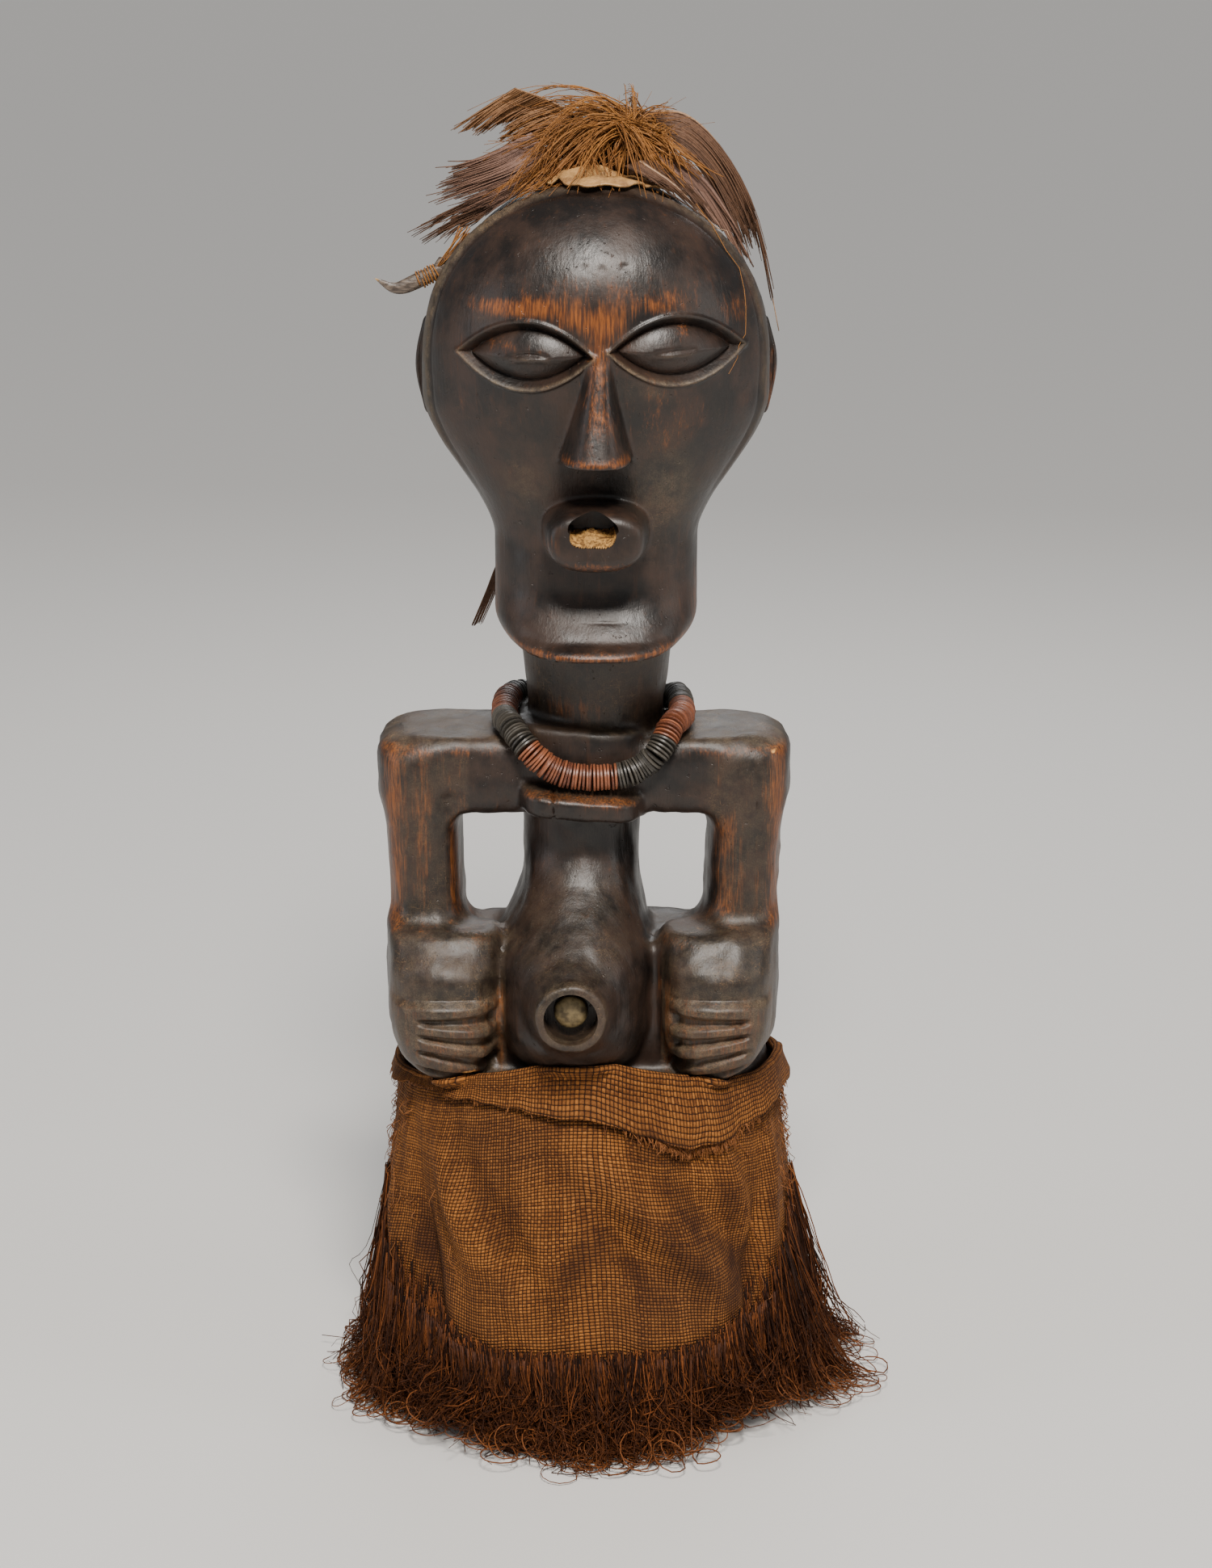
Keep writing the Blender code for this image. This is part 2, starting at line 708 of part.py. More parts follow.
def hide_patch(masses, collection):
    """A piece of dried hide on the crown, its front edge curled up."""
    rings, sectors = 3, 14
    bm = bmesh.new()
    centre = np.array([[HEAD_X + carved(8), carved(-22), CROWN_Z]])
    points = [centre]
    for ring in range(1, rings + 1):
        turns = np.linspace(0.0, 2.0 * math.pi, sectors, endpoint=False)
        reach = ring / rings * (1.0 + 0.10 * np.sin(3.0 * turns + 0.6))
        across = carved(36) * reach * np.cos(turns)
        along = carved(30) * reach * np.sin(turns)
        points.append(centre + np.stack([across, along, np.zeros(sectors)], axis=1))
    points = push_out(drop_onto(np.vstack(points), masses), masses, 1.5 * WOOD_CLEARANCE)
    curl = ramp(-points[:, 1], carved(42), carved(56))
    points[:, 2] += carved(7) * curl
    points[:, 1] -= carved(2) * curl
    verts = [bm.verts.new(point) for point in points]
    for i in range(sectors):
        j = (i + 1) % sectors
        bm.faces.new((verts[0], verts[1 + i], verts[1 + j]))
        for ring in range(rings - 1):
            inner, outer = 1 + ring * sectors, 1 + (ring + 1) * sectors
            bm.faces.new((verts[inner + i], verts[outer + i], verts[outer + j], verts[inner + j]))
    hide = add_object("hide_patch", mesh_from(bm, "hide_patch"), HIDE, collection)
    thick = hide.modifiers.new("Thickness", "SOLIDIFY")
    thick.thickness = HIDE_THICKNESS
    thick.offset = 1.0
    return hide


def curve_through(controls, count):
    """Points along a smooth curve through the control points."""
    controls = np.array(controls, float)
    before = 2 * controls[0] - controls[1]
    after = 2 * controls[-1] - controls[-2]
    padded = np.vstack([before, controls, after])
    spans = len(controls) - 1
    points = []
    for value in np.linspace(0.0, spans, count):
        i = min(int(value), spans - 1)
        t = value - i
        a, b, c, d = padded[i : i + 4]
        square = (2 * a - 5 * b + 4 * c - d) * t**2
        cube = (3 * b - a - 3 * c + d) * t**3
        points.append(0.5 * (2 * b + (c - a) * t + square + cube))
    return np.array(points)


def feather(name, shaft, up, widths, layer, masses, collection):
    """A thin plate that follows a curved shaft; layer is its least gap to the wood.

    up is the direction that the vane's first side points to, and widths its two sides' widths.
    """
    stations = 8
    columns = (-1.0, 0.0, 1.0)
    spine = curve_through(shaft, stations) * carved(1)
    share = np.linspace(0.0, 1.0, stations)
    swell = 0.22 + 0.78 * np.sin(math.pi * np.clip(share * 0.92 + 0.06, 0.0, 1.0)) ** 0.6
    tangent = np.gradient(spine, axis=0)
    tangent /= np.linalg.norm(tangent, axis=1)[:, None]
    up = np.array(up, float)
    across = up - (tangent @ up)[:, None] * tangent
    across /= np.linalg.norm(across, axis=1)[:, None]
    rows = []
    for column in columns:
        width = carved(widths[0] if column > 0.0 else widths[1])
        rows.append(spine + across * (column * width * swell)[:, None])
    points = np.stack(rows, axis=1).reshape(-1, 3)
    points = push_out(points, masses, layer)
    bm = bmesh.new()
    verts = [bm.verts.new(point) for point in points]
    wide = len(columns)
    for i in range(stations - 1):
        for j in range(wide - 1):
            a = i * wide + j
            bm.faces.new((verts[a], verts[a + 1], verts[a + wide + 1], verts[a + wide]))
    plate = add_object(name, mesh_from(bm, name), FEATHER, collection)
    thick = plate.modifiers.new("Thickness", "SOLIDIFY")
    thick.thickness = FEATHER_THICKNESS
    thick.offset = 0.0
    return plate


def headdress(masses, collection):
    """Feathers, a tuft of fibre, a claw and a hanging strip, bound to the crown."""
    near = WOOD_CLEARANCE + 2.0 * FEATHER_THICKNESS
    feathers = (
        ("feather_top", ((-16, 2, 731), (-37, -3, 745), (-67, -8, 727)), (0, 0.3, 1), (9, 11)),
        ("feather_left", ((-20, -14, 716), (-50, -17, 710), (-84, -14, 690)), (0, 0.3, 1), (15, 15)),
        ("feather_low_left", ((-40, 8, 700), (-74, 4, 686), (-105, -2, 661)), (0, 0.3, 1), (8, 9)),
        (
            "feather_right",
            ((30, 16, 737), (56, 16, 732), (79, 17, 709), (98, 17, 662), (106, 14, 622)),
            (1, 0, 0.5), (2, 15),
        ),
        ("feather_front_right", ((56, -24, 712), (76, -18, 690), (92, -14, 650)), (1, 0, 0.6), (8, 9)),
        ("feather_brow", ((38, -42, 712), (58, -44, 700), (74, -40, 676)), (1, -0.3, 0.6), (7, 7)),
    )
    for name, shaft, up, widths in feathers:
        feather(name, shaft, up, widths, near, masses, collection)
    strip = ((-70, 50, 606), (-54, 50, 552), (-42, 43, 500), (-50, 42, 470), (-66, 40, 440))
    feather("hanging_strip", strip, (1, 0.4, 0), (4, 4), near, masses, collection)
    bend = ((-76, -21, 658), (-92, -23, 651), (-104, -24, 648), (-115, -24, 652))
    radii = np.linspace(carved(3.6), carved(1.1), 8)
    hook = push_out(curve_through(bend, 8) * carved(1), masses, radii + WOOD_CLEARANCE)
    tube("claw", hook, radii, CLAW, collection, resolution=1)


def raffia_tuft(collection):
    """The bundle of fibre on the crown: a flat knot with clumps that lie out from it."""
    knot = np.array([carved(12), carved(-8), carved(727)])
    tips = (
        (-14, -50, 716), (2, -56, 716), (34, -47, 714), (62, -14, 722), (57, 4, 728),
        (34, 14, 744), (12, 4, 747), (-8, 0, 747), (-14, 34, 716), (8, 42, 717), (34, 36, 715),
    )
    bm = bmesh.new()
    bmesh.ops.create_uvsphere(bm, u_segments=16, v_segments=10, radius=1.0)
    bmesh.ops.scale(bm, vec=(carved(24), carved(17), carved(12)), verts=bm.verts)
    bmesh.ops.translate(bm, vec=knot, verts=bm.verts)
    for tip in tips:
        end = np.array(tip) * carved(1)
        middle = (knot + end) / 2 + (0, 0, carved(4))
        path = curve_through((knot, middle, end), 7)
        sizes = np.linspace(carved(9), carved(2.6), len(path))
        for a, b, size_a, size_b in zip(path, path[1:], sizes, sizes[1:]):
            along = Vector(b - a)
            turn = along.to_track_quat("Z", "Y").to_matrix().to_4x4()
            bmesh.ops.create_cone(
                bm, cap_ends=True, segments=8, radius1=size_a, radius2=size_b,
                depth=along.length * 1.2, matrix=Matrix.Translation((a + b) / 2) @ turn,
            )
    tuft = add_object("raffia_tuft", mesh_from(bm, "raffia_tuft"), TUFT, collection)
    fuse = tuft.modifiers.new("Fuse", "REMESH")
    fuse.mode = "VOXEL"
    fuse.voxel_size = 0.002
    thin = tuft.modifiers.new("Thin", "DECIMATE")
    thin.ratio = 0.05
    return tuft


def waist_edge(turns):
    """Height of the top of the cloth, which is highest under the belly and at one side."""
    belly = 0.0095 * bump(turns, math.radians(268), math.radians(20))
    corner = 0.011 * bump(turns, math.radians(356), math.radians(15))
    return WAIST_HEIGHT + belly + corner


def hanging_outline(turns, height):
    """The skirt's outer surface at each turn round it: it swells from the waist to the hem."""
    share = np.clip((WAIST_HEIGHT - height) / (WAIST_HEIGHT - HEM_HEIGHT), 0.0, 1.0)
    half_width = carved(109) + (HEM_HALF_WIDTH - carved(109)) * share**0.8
    waist_depth = np.where(np.sin(turns) < 0.0, carved(74), carved(58))
    half_depth = waist_depth + (HEM_HALF_DEPTH - waist_depth) * share**0.75
    folds = FOLD_HEIGHT * np.sin(9.0 * turns + 1.5 * np.sin(2.0 * turns)) * ramp(share, 0.06, 0.6)
    power = 2.0 / 2.35
    cosine = np.cos(turns)
    sine = np.sin(turns)
    x = (half_width + folds) * np.sign(cosine) * np.abs(cosine) ** power
    y = (half_depth + folds) * np.sign(sine) * np.abs(sine) ** power
    return x, y


def cloth_section(turns, height, masses):
    """The skirt's outer surface, moved out wherever the wood inside it needs more room.

    The room is what the wood needs as far as the next turns and levels, so facets clear it too.
    """
    height = np.broadcast_to(height, turns.shape)
    needed = CLOTH_THICKNESS + 1.5 * WOOD_CLEARANCE
    steps = np.linspace(-1.0, 1.0, 5)
    sideways, upward = np.meshgrid(steps * 2.0 * math.pi / SKIRT_SIDES, steps * 0.2)
    around = turns + sideways.reshape(-1, 1)
    level = height + upward.reshape(-1, 1) * (WAIST_HEIGHT - HEM_HEIGHT)
    level = np.clip(level, HEM_HEIGHT, waist_edge(turns))
    x, y = hanging_outline(around, level)
    lack = np.zeros(around.shape)
    for _ in range(6):
        near = np.stack([*inward(x, y, -lack), level], axis=-1).reshape(-1, 3)
        gap, _ = gap_and_normal(near, masses)
        lack += np.maximum(needed - gap.reshape(lack.shape), 0.0)
    return inward(*hanging_outline(turns, height), -lack.max(axis=0))


def flap_edge(turns):
    """Height of the lower edge of the folded waist, which dips towards one side of the front."""
    dip = 0.006 * np.cos(turns - math.radians(215)) + 0.0015 * np.sin(5.0 * turns)
    return WAIST_HEIGHT - FLAP_DEPTH + dip


def ring_shell(name, rings, finish, collection):
    """Closes a list of rings of points, each the same length, into one band."""
    bm = bmesh.new()
    loops = [[bm.verts.new(point) for point in ring] for ring in rings]
    faces = []
    for low, high in zip(loops, loops[1:] + loops[:1]):
        for i in range(len(low)):
            j = (i + 1) % len(low)
            faces.append(bm.faces.new((low[i], low[j], high[j], high[i])))
    bmesh.ops.recalc_face_normals(bm, faces=faces)
    return add_object(name, mesh_from(bm, name), finish, collection)


def inward(x, y, distance):
    """Points moved this far towards the axis."""
    radius = np.hypot(x, y)
    return x * (1.0 - distance / radius), y * (1.0 - distance / radius)


def skirt_cloth(masses, collection):
    """The wrapped cloth, with its waist folded down over the outside."""
    sides = SKIRT_SIDES
    turns = np.linspace(0.0, 2.0 * math.pi, sides, endpoint=False)
    edge = flap_edge(turns)
    rings = []
    tucked = edge - CLOTH_THICKNESS / 2.0
    for share in (0.0, 0.25, 0.5, 0.75, 1.0):
        height = HEM_HEIGHT + (tucked - HEM_HEIGHT) * share
        x, y = cloth_section(turns, height, masses)
        rings.append(np.stack([x, y, height], axis=1))
    for share, out in ((0.0, FLAP_THICKNESS), (0.5, FLAP_THICKNESS), (1.0, FLAP_THICKNESS * 0.3)):
        height = edge + (waist_edge(turns) - edge) * share
        x, y = inward(*cloth_section(turns, height, masses), -out)
        rings.append(np.stack([x, y, height], axis=1))
    for share in (1.0, 0.88, 0.61, 0.31, 0.0):
        height = HEM_HEIGHT + (waist_edge(turns) - HEM_HEIGHT) * share
        x, y = inward(*cloth_section(turns, height, masses), CLOTH_THICKNESS)
        rings.append(np.stack([x, y, height], axis=1))
    return ring_shell("skirt_cloth", rings, RAFFIA_CLOTH, collection)


def skirt_fringe(masses, collection):
    """The thick fringe: it starts on the cloth above the hem and flares out over the ground."""
    sides = SKIRT_SIDES
    turns = np.linspace(0.0, 2.0 * math.pi, sides, endpoint=False)
    tufts = 1.0 - 0.035 * (np.arange(sides) % 2)
    top = HEM_HEIGHT + 0.008 + 0.034 * np.abs(np.cos(turns)) ** 3
    floor_x = FRINGE_X + FRINGE_HALF_WIDTH * tufts * np.cos(turns)
    floor_y = FRINGE_HALF_DEPTH * tufts * np.sin(turns)
    rings = []
    hem_x, hem_y = inward(*cloth_section(turns, HEM_HEIGHT, masses), -CLOTH_CLEARANCE)
    top_x, top_y = inward(*cloth_section(turns, top, masses), -CLOTH_CLEARANCE)
    rings.append(np.stack([top_x, top_y, top], axis=1))
    for share, height, out in ((0.25, 0.80, 0.6), (0.55, 0.45, 1.0), (0.88, 0.16, 1.0), (1.0, 0.0, 0.0)):
        x = hem_x + (floor_x - hem_x) * share
        y = hem_y + (floor_y - hem_y) * share
        x, y = inward(x, y, -0.4 * FRINGE_THICKNESS * out * (1.0 - share))
        rings.append(np.stack([x, y, top * height], axis=1))
    inner_x, inner_y = inward(floor_x, floor_y, 1.6 * FRINGE_THICKNESS)
    rings.append(np.stack([inner_x, inner_y, np.zeros(sides)], axis=1))
    for share, height in ((0.45, 0.36 * HEM_HEIGHT), (0.0, HEM_HEIGHT - CLOTH_CLEARANCE)):
        x = hem_x + (inner_x - hem_x) * share
        y = hem_y + (inner_y - hem_y) * share
        rings.append(np.stack([x, y, np.full(sides, height)], axis=1))
    return ring_shell("skirt_fringe", rings, RAFFIA_FIBRE, collection)


def build():
    clear_scene()
    part = bpy.data.collections.new("songye_power_figure")
    cutters = bpy.data.collections.new("cutters")
    bpy.context.scene.collection.children.link(part)
    bpy.context.scene.collection.children.link(cutters)
    masses = figure_masses()
    carve_figure(masses, part, cutters)
    navel_plug(part)
    necklace(masses, part)
    hide_patch(masses, part)
    headdress(masses, part)
    raffia_tuft(part)
    skirt_cloth(masses, part)
    skirt_fringe(masses, part)
    for obj in (*part.objects, *cutters.objects):
        obj.location.x -= FRINGE_X


build()
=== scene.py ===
"""Looks of the Songye power figure: carved dark wood, disc beads, feathers, hide, fibre and a raffia skirt.

Metres, +Z up, facing -Y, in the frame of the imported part. The carving's functions repeat those
of the part's source, in millimetres here, with finer relief. Pieces are built about the figure's
own axis and then moved by SHIFT, as in the part.
"""

import math

import bmesh
import bpy
import numpy as np
from mathutils import Matrix, Vector, noise


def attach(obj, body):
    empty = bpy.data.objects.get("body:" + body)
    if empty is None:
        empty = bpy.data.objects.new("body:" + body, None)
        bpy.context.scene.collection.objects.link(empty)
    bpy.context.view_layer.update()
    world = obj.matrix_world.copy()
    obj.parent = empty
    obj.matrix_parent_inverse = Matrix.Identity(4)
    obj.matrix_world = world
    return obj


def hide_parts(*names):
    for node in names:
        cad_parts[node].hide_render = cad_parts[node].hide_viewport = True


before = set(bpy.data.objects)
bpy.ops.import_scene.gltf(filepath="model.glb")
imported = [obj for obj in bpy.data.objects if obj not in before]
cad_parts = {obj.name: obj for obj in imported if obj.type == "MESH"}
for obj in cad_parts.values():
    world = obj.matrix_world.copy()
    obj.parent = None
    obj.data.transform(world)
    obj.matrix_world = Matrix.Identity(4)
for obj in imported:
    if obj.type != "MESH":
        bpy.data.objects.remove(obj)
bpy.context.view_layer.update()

MM = 0.001
SHIFT = -0.010  # the figure's axis stands to one side of the middle of its fringe
FULL_TURN = 2.0 * math.pi
RANDOM = np.random.default_rng(12)

# Levels and sizes of the carving, in millimetres, as in the part
CROWN_Z, CROWN_CAP, WIDEST_Z, FOREHEAD_Z = 706.0, 3.0, 606.0, 640.0
NOSE_TOP_Z, NOSE_BASE_Z, MOUTH_Z, JAW_Z = 637.0, 563.0, 523.0, 510.0
CHEEK_Z, CHIN_Z, SHOULDER_TOP_Z, CHEST_BASE_Z = 592.0, 453.0, 396.0, 354.0
ARMPIT_Z, LEDGE_Z, NAVEL_Z, HAND_BASE_Z = 352.0, 287.0, 254.0, 199.0
HIP_TOP_Z, CROTCH_Z, PLINTH_RADIUS, PLINTH_HEIGHT = 203.0, 112.0, 92.0, 28.0
HEAD_X, HEAD_Y, TORSO_X, NAVEL_X, NAVEL_Y = 4.5, -20.0, -4.0, -9.5, -107.0
MOUTH_Y, NOSE_TIP_Y, ARM_X, FOREARM_X, LEG_X = -106.0, -118.0, 88.0, 77.0, 47.0
EYE_MIDDLE_X, EYE_APART, EYE_HALF_LENGTH, EYE_HALF_HEIGHT, EYE_Z = 7.5, 40.0, 36.0, 18.0, 621.0
NAVEL_RADIUS, NAVEL_DEPTH, PLUG_RADIUS, PLUG_SEAT = 15.0, 18.0, 9.3, 8.0
BEAD_RADIUS, BEAD_PITCH = 7.6, 1.9
BEAD_RUN_SHARES = (0.150, 0.095, 0.140, 0.150, 0.110, 0.120, 0.130, 0.105)
FRONT_RUN_START = -0.118
WAIST_HEIGHT, HEM_HEIGHT, HEM_HALF_WIDTH, HEM_HALF_DEPTH = 197.0, 50.0, 122.0, 118.0
FRINGE_X, FRINGE_HALF_WIDTH, FRINGE_HALF_DEPTH = 10.0, 168.0, 160.0

# Values of the finer mesh, in millimetres unless said
HANDS_X = -2.5  # the middle between the hands
VOXEL_SIZE = 3.2
FIGURE_TRIANGLES = 180000  # what the figure's mesh is thinned to where it is smooth
HIDE_THICKNESS, CLOTH_THICKNESS = 1.2, 1.1
HEADDRESS_TOP = 752.5  # no fibre of the tuft rises above this
WEAVE_ROUND = 0.78  # metres of weave round the hem
ANY_PHASE = 6.28  # the range of a random start round a circle


def ramp(value, low, high):
    """0 below low, 1 above high, and smooth between them."""
    share = np.clip((value - low) / (high - low), 0.0, 1.0)
    return share * share * (3.0 - 2.0 * share)


def dome(value, start, end, power=2.0):
    """1 at start, closing to 0 at end along a superellipse."""
    share = np.clip((value - start) / (end - start), 0.0, 1.0)
    return (1.0 - share**power) ** (1.0 / power)


def bump(value, centre, width):
    """A smooth bump of height 1 at centre."""
    return np.exp(-(((value - centre) / width) ** 2))


def blob(x, z, centre_x, centre_z, half_width, half_height):
    """A soft spot of height 1."""
    return np.exp(-(((x - centre_x) / half_width) ** 2) - ((z - centre_z) / half_height) ** 2)


def smooth_min(a, b, radius):
    """The lower of two values, blended where they are within radius of each other."""
    share = np.clip(0.5 + 0.5 * (b - a) / radius, 0.0, 1.0)
    return b + (a - b) * share - radius * share * (1.0 - share)


def round_turns(count):
    """Angles spaced evenly round a circle."""
    return np.linspace(0.0, FULL_TURN, count, endpoint=False)


def tube_quads(rings, sides, first=0, flip=False):
    """The faces between rings of points that follow each other in a mesh."""
    index = first + np.arange(rings * sides).reshape(rings, sides)
    beside = np.roll(index, -1, axis=1)
    if flip:
        corners = (index[:-1], index[1:], beside[1:], beside[:-1])
    else:
        corners = (index[:-1], beside[:-1], beside[1:], index[1:])
    return np.stack(corners, axis=-1).reshape(-1, 4)


def fan(middle, first, sides, flip=False):
    """The triangles between a middle point and a ring of points."""
    ring = [(first + i, first + (i + 1) % sides) for i in range(sides)]
    return [(middle, b, a) if flip else (middle, a, b) for a, b in ring]


def in_turn(*fans):
    """The fans' triangles, one of each in turn."""
    return list(sum(zip(*fans), ()))


class Mass:
    """One block of the carving: superellipse sections stacked from bottom to top, or along -Y."""

    def __init__(self, bottom, top, section, rounding, blend, forward=False, tilt=0.0):
        self.bottom, self.top, self.section = bottom, top, section
        self.rounding, self.blend, self.forward, self.tilt = rounding, blend, forward, tilt

    def sizes(self, level):
        level = np.clip(level, self.bottom, self.top)
        return [np.broadcast_to(np.asarray(v, float), level.shape) for v in self.section(level)]

    def distance(self, points):
        x, y, z = points.T
        z = z + self.tilt * (x - TORSO_X)
        if self.forward:
            y, z = z, -y
        centre_x, centre_y, half_width, front, back, power = self.sizes(z)
        across, along = x - centre_x, y - centre_y
        half_width = np.maximum(half_width, 0.1)
        depth = np.maximum(np.where(along < 0.0, front, back), 0.1)
        reach = np.abs(across / half_width) ** power + np.abs(along / depth) ** power
        reach = np.maximum(reach, 1e-9) ** (1.0 / power)
        radius = np.maximum(np.hypot(across, along), 1e-6)
        side = radius - radius / reach
        ends = np.maximum(z - self.top, self.bottom - z)
        return -smooth_min(-side, -ends, self.rounding)

    def add_block(self, bm, rings=16, sides=24):
        levels = np.linspace(self.bottom, self.top, rings)
        verts = []
        for level, sizes in zip(levels, zip(*self.sizes(levels))):
            centre_x, centre_y, half_width, front, back, power = sizes
            for turn in round_turns(sides):
                cosine, sine = math.cos(turn), math.sin(turn)
                depth = max(front if sine < 0.0 else back, 0.1)
                x = centre_x + max(half_width, 0.1) * math.copysign(abs(cosine) ** (2 / power), cosine)
                y = centre_y + depth * math.copysign(abs(sine) ** (2 / power), sine)
                verts.append(bm.verts.new((x, -level, y) if self.forward else (x, y, level)))
        faces = [bm.faces.new(verts[:sides]), bm.faces.new(verts[-sides:])]
        faces += [bm.faces.new([verts[k] for k in quad]) for quad in tube_quads(rings, sides)]
        bmesh.ops.recalc_face_normals(bm, faces=faces)


def head():
    def section(z):
        half_width = 56.0 + 39.0 * ramp(z, JAW_Z, CHEEK_Z)
        half_width = half_width * dome(z, WIDEST_Z, CROWN_Z + CROWN_CAP, 2.1)
        half_width = half_width - 13.0 * np.clip((472.0 - z) / 19.0, 0.0, 1.0) ** 2.2
        chin = np.clip((490.0 - z) / 37.0, 0.0, 1.0) ** 2
        front = 50.0 + 31.0 * ramp(z, 505.0, FOREHEAD_Z) + 26.0 * chin
        front = front * dome(z, FOREHEAD_Z, CROWN_Z + CROWN_CAP, 2.1)
        back = (62.0 + 34.0 * ramp(z, 490.0, 600.0)) * dome(z, 615.0, CROWN_Z + CROWN_CAP, 2.2)
        return HEAD_X, HEAD_Y, half_width, front, back, 2.9 - 0.7 * ramp(z, 500.0, 600.0)

    return Mass(CHIN_Z, CROWN_Z, section, 5.0, 3.0)


def neck():
    def section(z):
        radius = 40.0 * (0.93 + 0.14 * ramp(z, 390.0, 455.0))
        return HEAD_X, 3.0, radius, radius, radius, 2.0

    return Mass(380.0, 475.0, section, 4.0, 4.0)


def nose():
    def section(z):
        down = np.clip((NOSE_TOP_Z - z) / (NOSE_TOP_Z - NOSE_BASE_Z), 0.0, 1.0)
        middle_x = HEAD_X + (EYE_MIDDLE_X - HEAD_X) * (1.0 - down)
        tip = -66.0 - NOSE_TIP_Y - 21.0 * (1.0 - down) ** 0.9
        return middle_x, -66.0, 7.5 + 12.5 * down**1.8, tip, 20.0, 3.0

    return Mass(NOSE_BASE_Z, NOSE_TOP_Z, section, 2.5, 4.5)


def mouth():
    def section(forward):
        swell = 1.0 + 0.10 * ramp(forward, 100.0, 76.0)
        return HEAD_X, MOUTH_Z, 26.0 * swell, 18.5 * swell, 15.0 * swell, 2.5

    return Mass(55.0, -MOUTH_Y, section, 9.0, 4.0, forward=True)


def ear(side):
    def section(z):
        out = 88.0 + 9.0 * bump(z, 598.0, 27.0)
        return HEAD_X + side * out, 16.0, 9.0, 8.0, 11.0, 2.4

    return Mass(566.0, 630.0, section, 7.0, 3.0)


def chest():
    def section(z):
        return TORSO_X, 0.0, 36.0, 44.0 + 18.0 * ramp(z, 373.0, 364.0), 34.0, 4.5

    return Mass(CHEST_BASE_Z, 402.0, section, 5.0, 5.0, tilt=0.08)


def shoulders():
    def section(z):
        return -2.5, -2.0, 113.0, 40.0, 36.0, 5.0

    return Mass(ARMPIT_Z, SHOULDER_TOP_Z, section, 17.0, 6.0)


def upper_arm(side):
    def section(z):
        lean = 4.5 * ramp(z, 240.0, 390.0)
        return side * (ARM_X + lean) - 2.5, -4.0, 21.0, 38.0, 32.0, 3.0

    return Mass(222.0, 386.0, section, 8.0, 15.0)


def forearm(side):
    def section(z):
        close = dome(-z, -240.0, -HAND_BASE_Z, 2.2)
        centre_x = side * (FOREARM_X - 8.0 * (1.0 - close)) - 4.0
        front = 28.0 + 13.0 * ramp(z, 288.0, 262.0) + 6.0 * ramp(z, 254.0, 248.0)
        back = 12.0 + 46.0 * ramp(z, 282.0, 255.0)
        front, back = front * (0.4 + 0.6 * close), back * (0.6 + 0.4 * close)
        return centre_x, -32.0, 32.0 * close, front, back, 3.0

    return Mass(HAND_BASE_Z, LEDGE_Z, section, 8.0, 8.0)


def torso():
    def section(z):
        belly = ramp(z, 335.0, 262.0) * dome(-z, -245.0, -203.0, 2.0)
        half_width = 33.0 + 14.0 * ramp(z, 318.0, 262.0) * (0.4 + 0.6 * belly)
        front = 40.0 + 57.0 * belly**1.15
        return TORSO_X - 4.0 * ramp(z, 320.0, 260.0), 0.0, half_width, front, 32.0, 2.3

    return Mass(203.0, 365.0, section, 8.0, 5.0)


def navel_rim():
    def section(forward):
        radius = 19.8 + 5.0 * ramp(forward, 104.0, 88.0)
        return NAVEL_X, NAVEL_Z, radius, radius, radius, 2.0

    return Mass(50.0, -NAVEL_Y, section, 3.5, 5.0, forward=True)


def lap():
    def section(z):
        half_width = 74.0 + 14.0 * ramp(z, 265.0, 215.0)
        return -2.5, -2.0, half_width, 48.0, 32.0, 3.2

    return Mass(190.0, LEDGE_Z - 9.0, section, 9.0, 8.0)


def hips():
    def section(z):
        lower = ramp(z, HIP_TOP_Z, 160.0)
        return 0.0, 0.0, 104.0, 68.0 + 12.0 * lower, 52.0 + 18.0 * lower, 2.4

    return Mass(CROTCH_Z, HIP_TOP_Z, section, 7.0, 5.0)


def leg(side):
    def section(z):
        knee, calf = bump(z, 105.0, 24.0), bump(z, 66.0, 20.0)
        front, back = 36.0 + 20.0 * knee, 42.0 + 14.0 * calf
        return side * LEG_X, 2.0 * (1.0 - knee), 37.0 + 4.0 * knee, front, back, 2.6

    return Mass(PLINTH_HEIGHT - 8.0, 150.0, section, 6.0, 8.0)


def foot(side):
    def section(z):
        instep = ramp(z, PLINTH_HEIGHT + 24.0, PLINTH_HEIGHT + 6.0)
        return side * LEG_X, 0.0, 33.0, 46.0 + 28.0 * instep, 46.0, 2.8

    return Mass(PLINTH_HEIGHT - 8.0, PLINTH_HEIGHT + 26.0, section, 6.0, 6.0)


def plinth():
    def section(z):
        return 0.0, 0.0, PLINTH_RADIUS, PLINTH_RADIUS, PLINTH_RADIUS, 2.0

    return Mass(-14.0, PLINTH_HEIGHT, section, 3.0, 4.0)


def figure_masses():
    masses = [plinth(), hips(), lap(), torso(), navel_rim(), chest()]
    masses += [shoulders(), neck(), head(), nose(), mouth()]
    for limb in (foot, leg, forearm, upper_arm, ear):
        masses += [limb(-1.0), limb(1.0)]
    return masses


MASSES = figure_masses()


def eye_depth(x, z, side):
    """How far each point is inside the eye's almond outline, and its share along the eye."""
    along = (x - EYE_MIDDLE_X - side * EYE_APART) / EYE_HALF_LENGTH
    middle = EYE_Z + 1.4 * side
    above = np.abs(z - middle) - EYE_HALF_HEIGHT * np.clip(1.0 - along**2, 0.0, 1.0)
    beyond = EYE_HALF_LENGTH * np.clip(np.abs(along) - 1.0, 0.0, 1.0)
    return -np.hypot(above, beyond) * np.sign(above), along


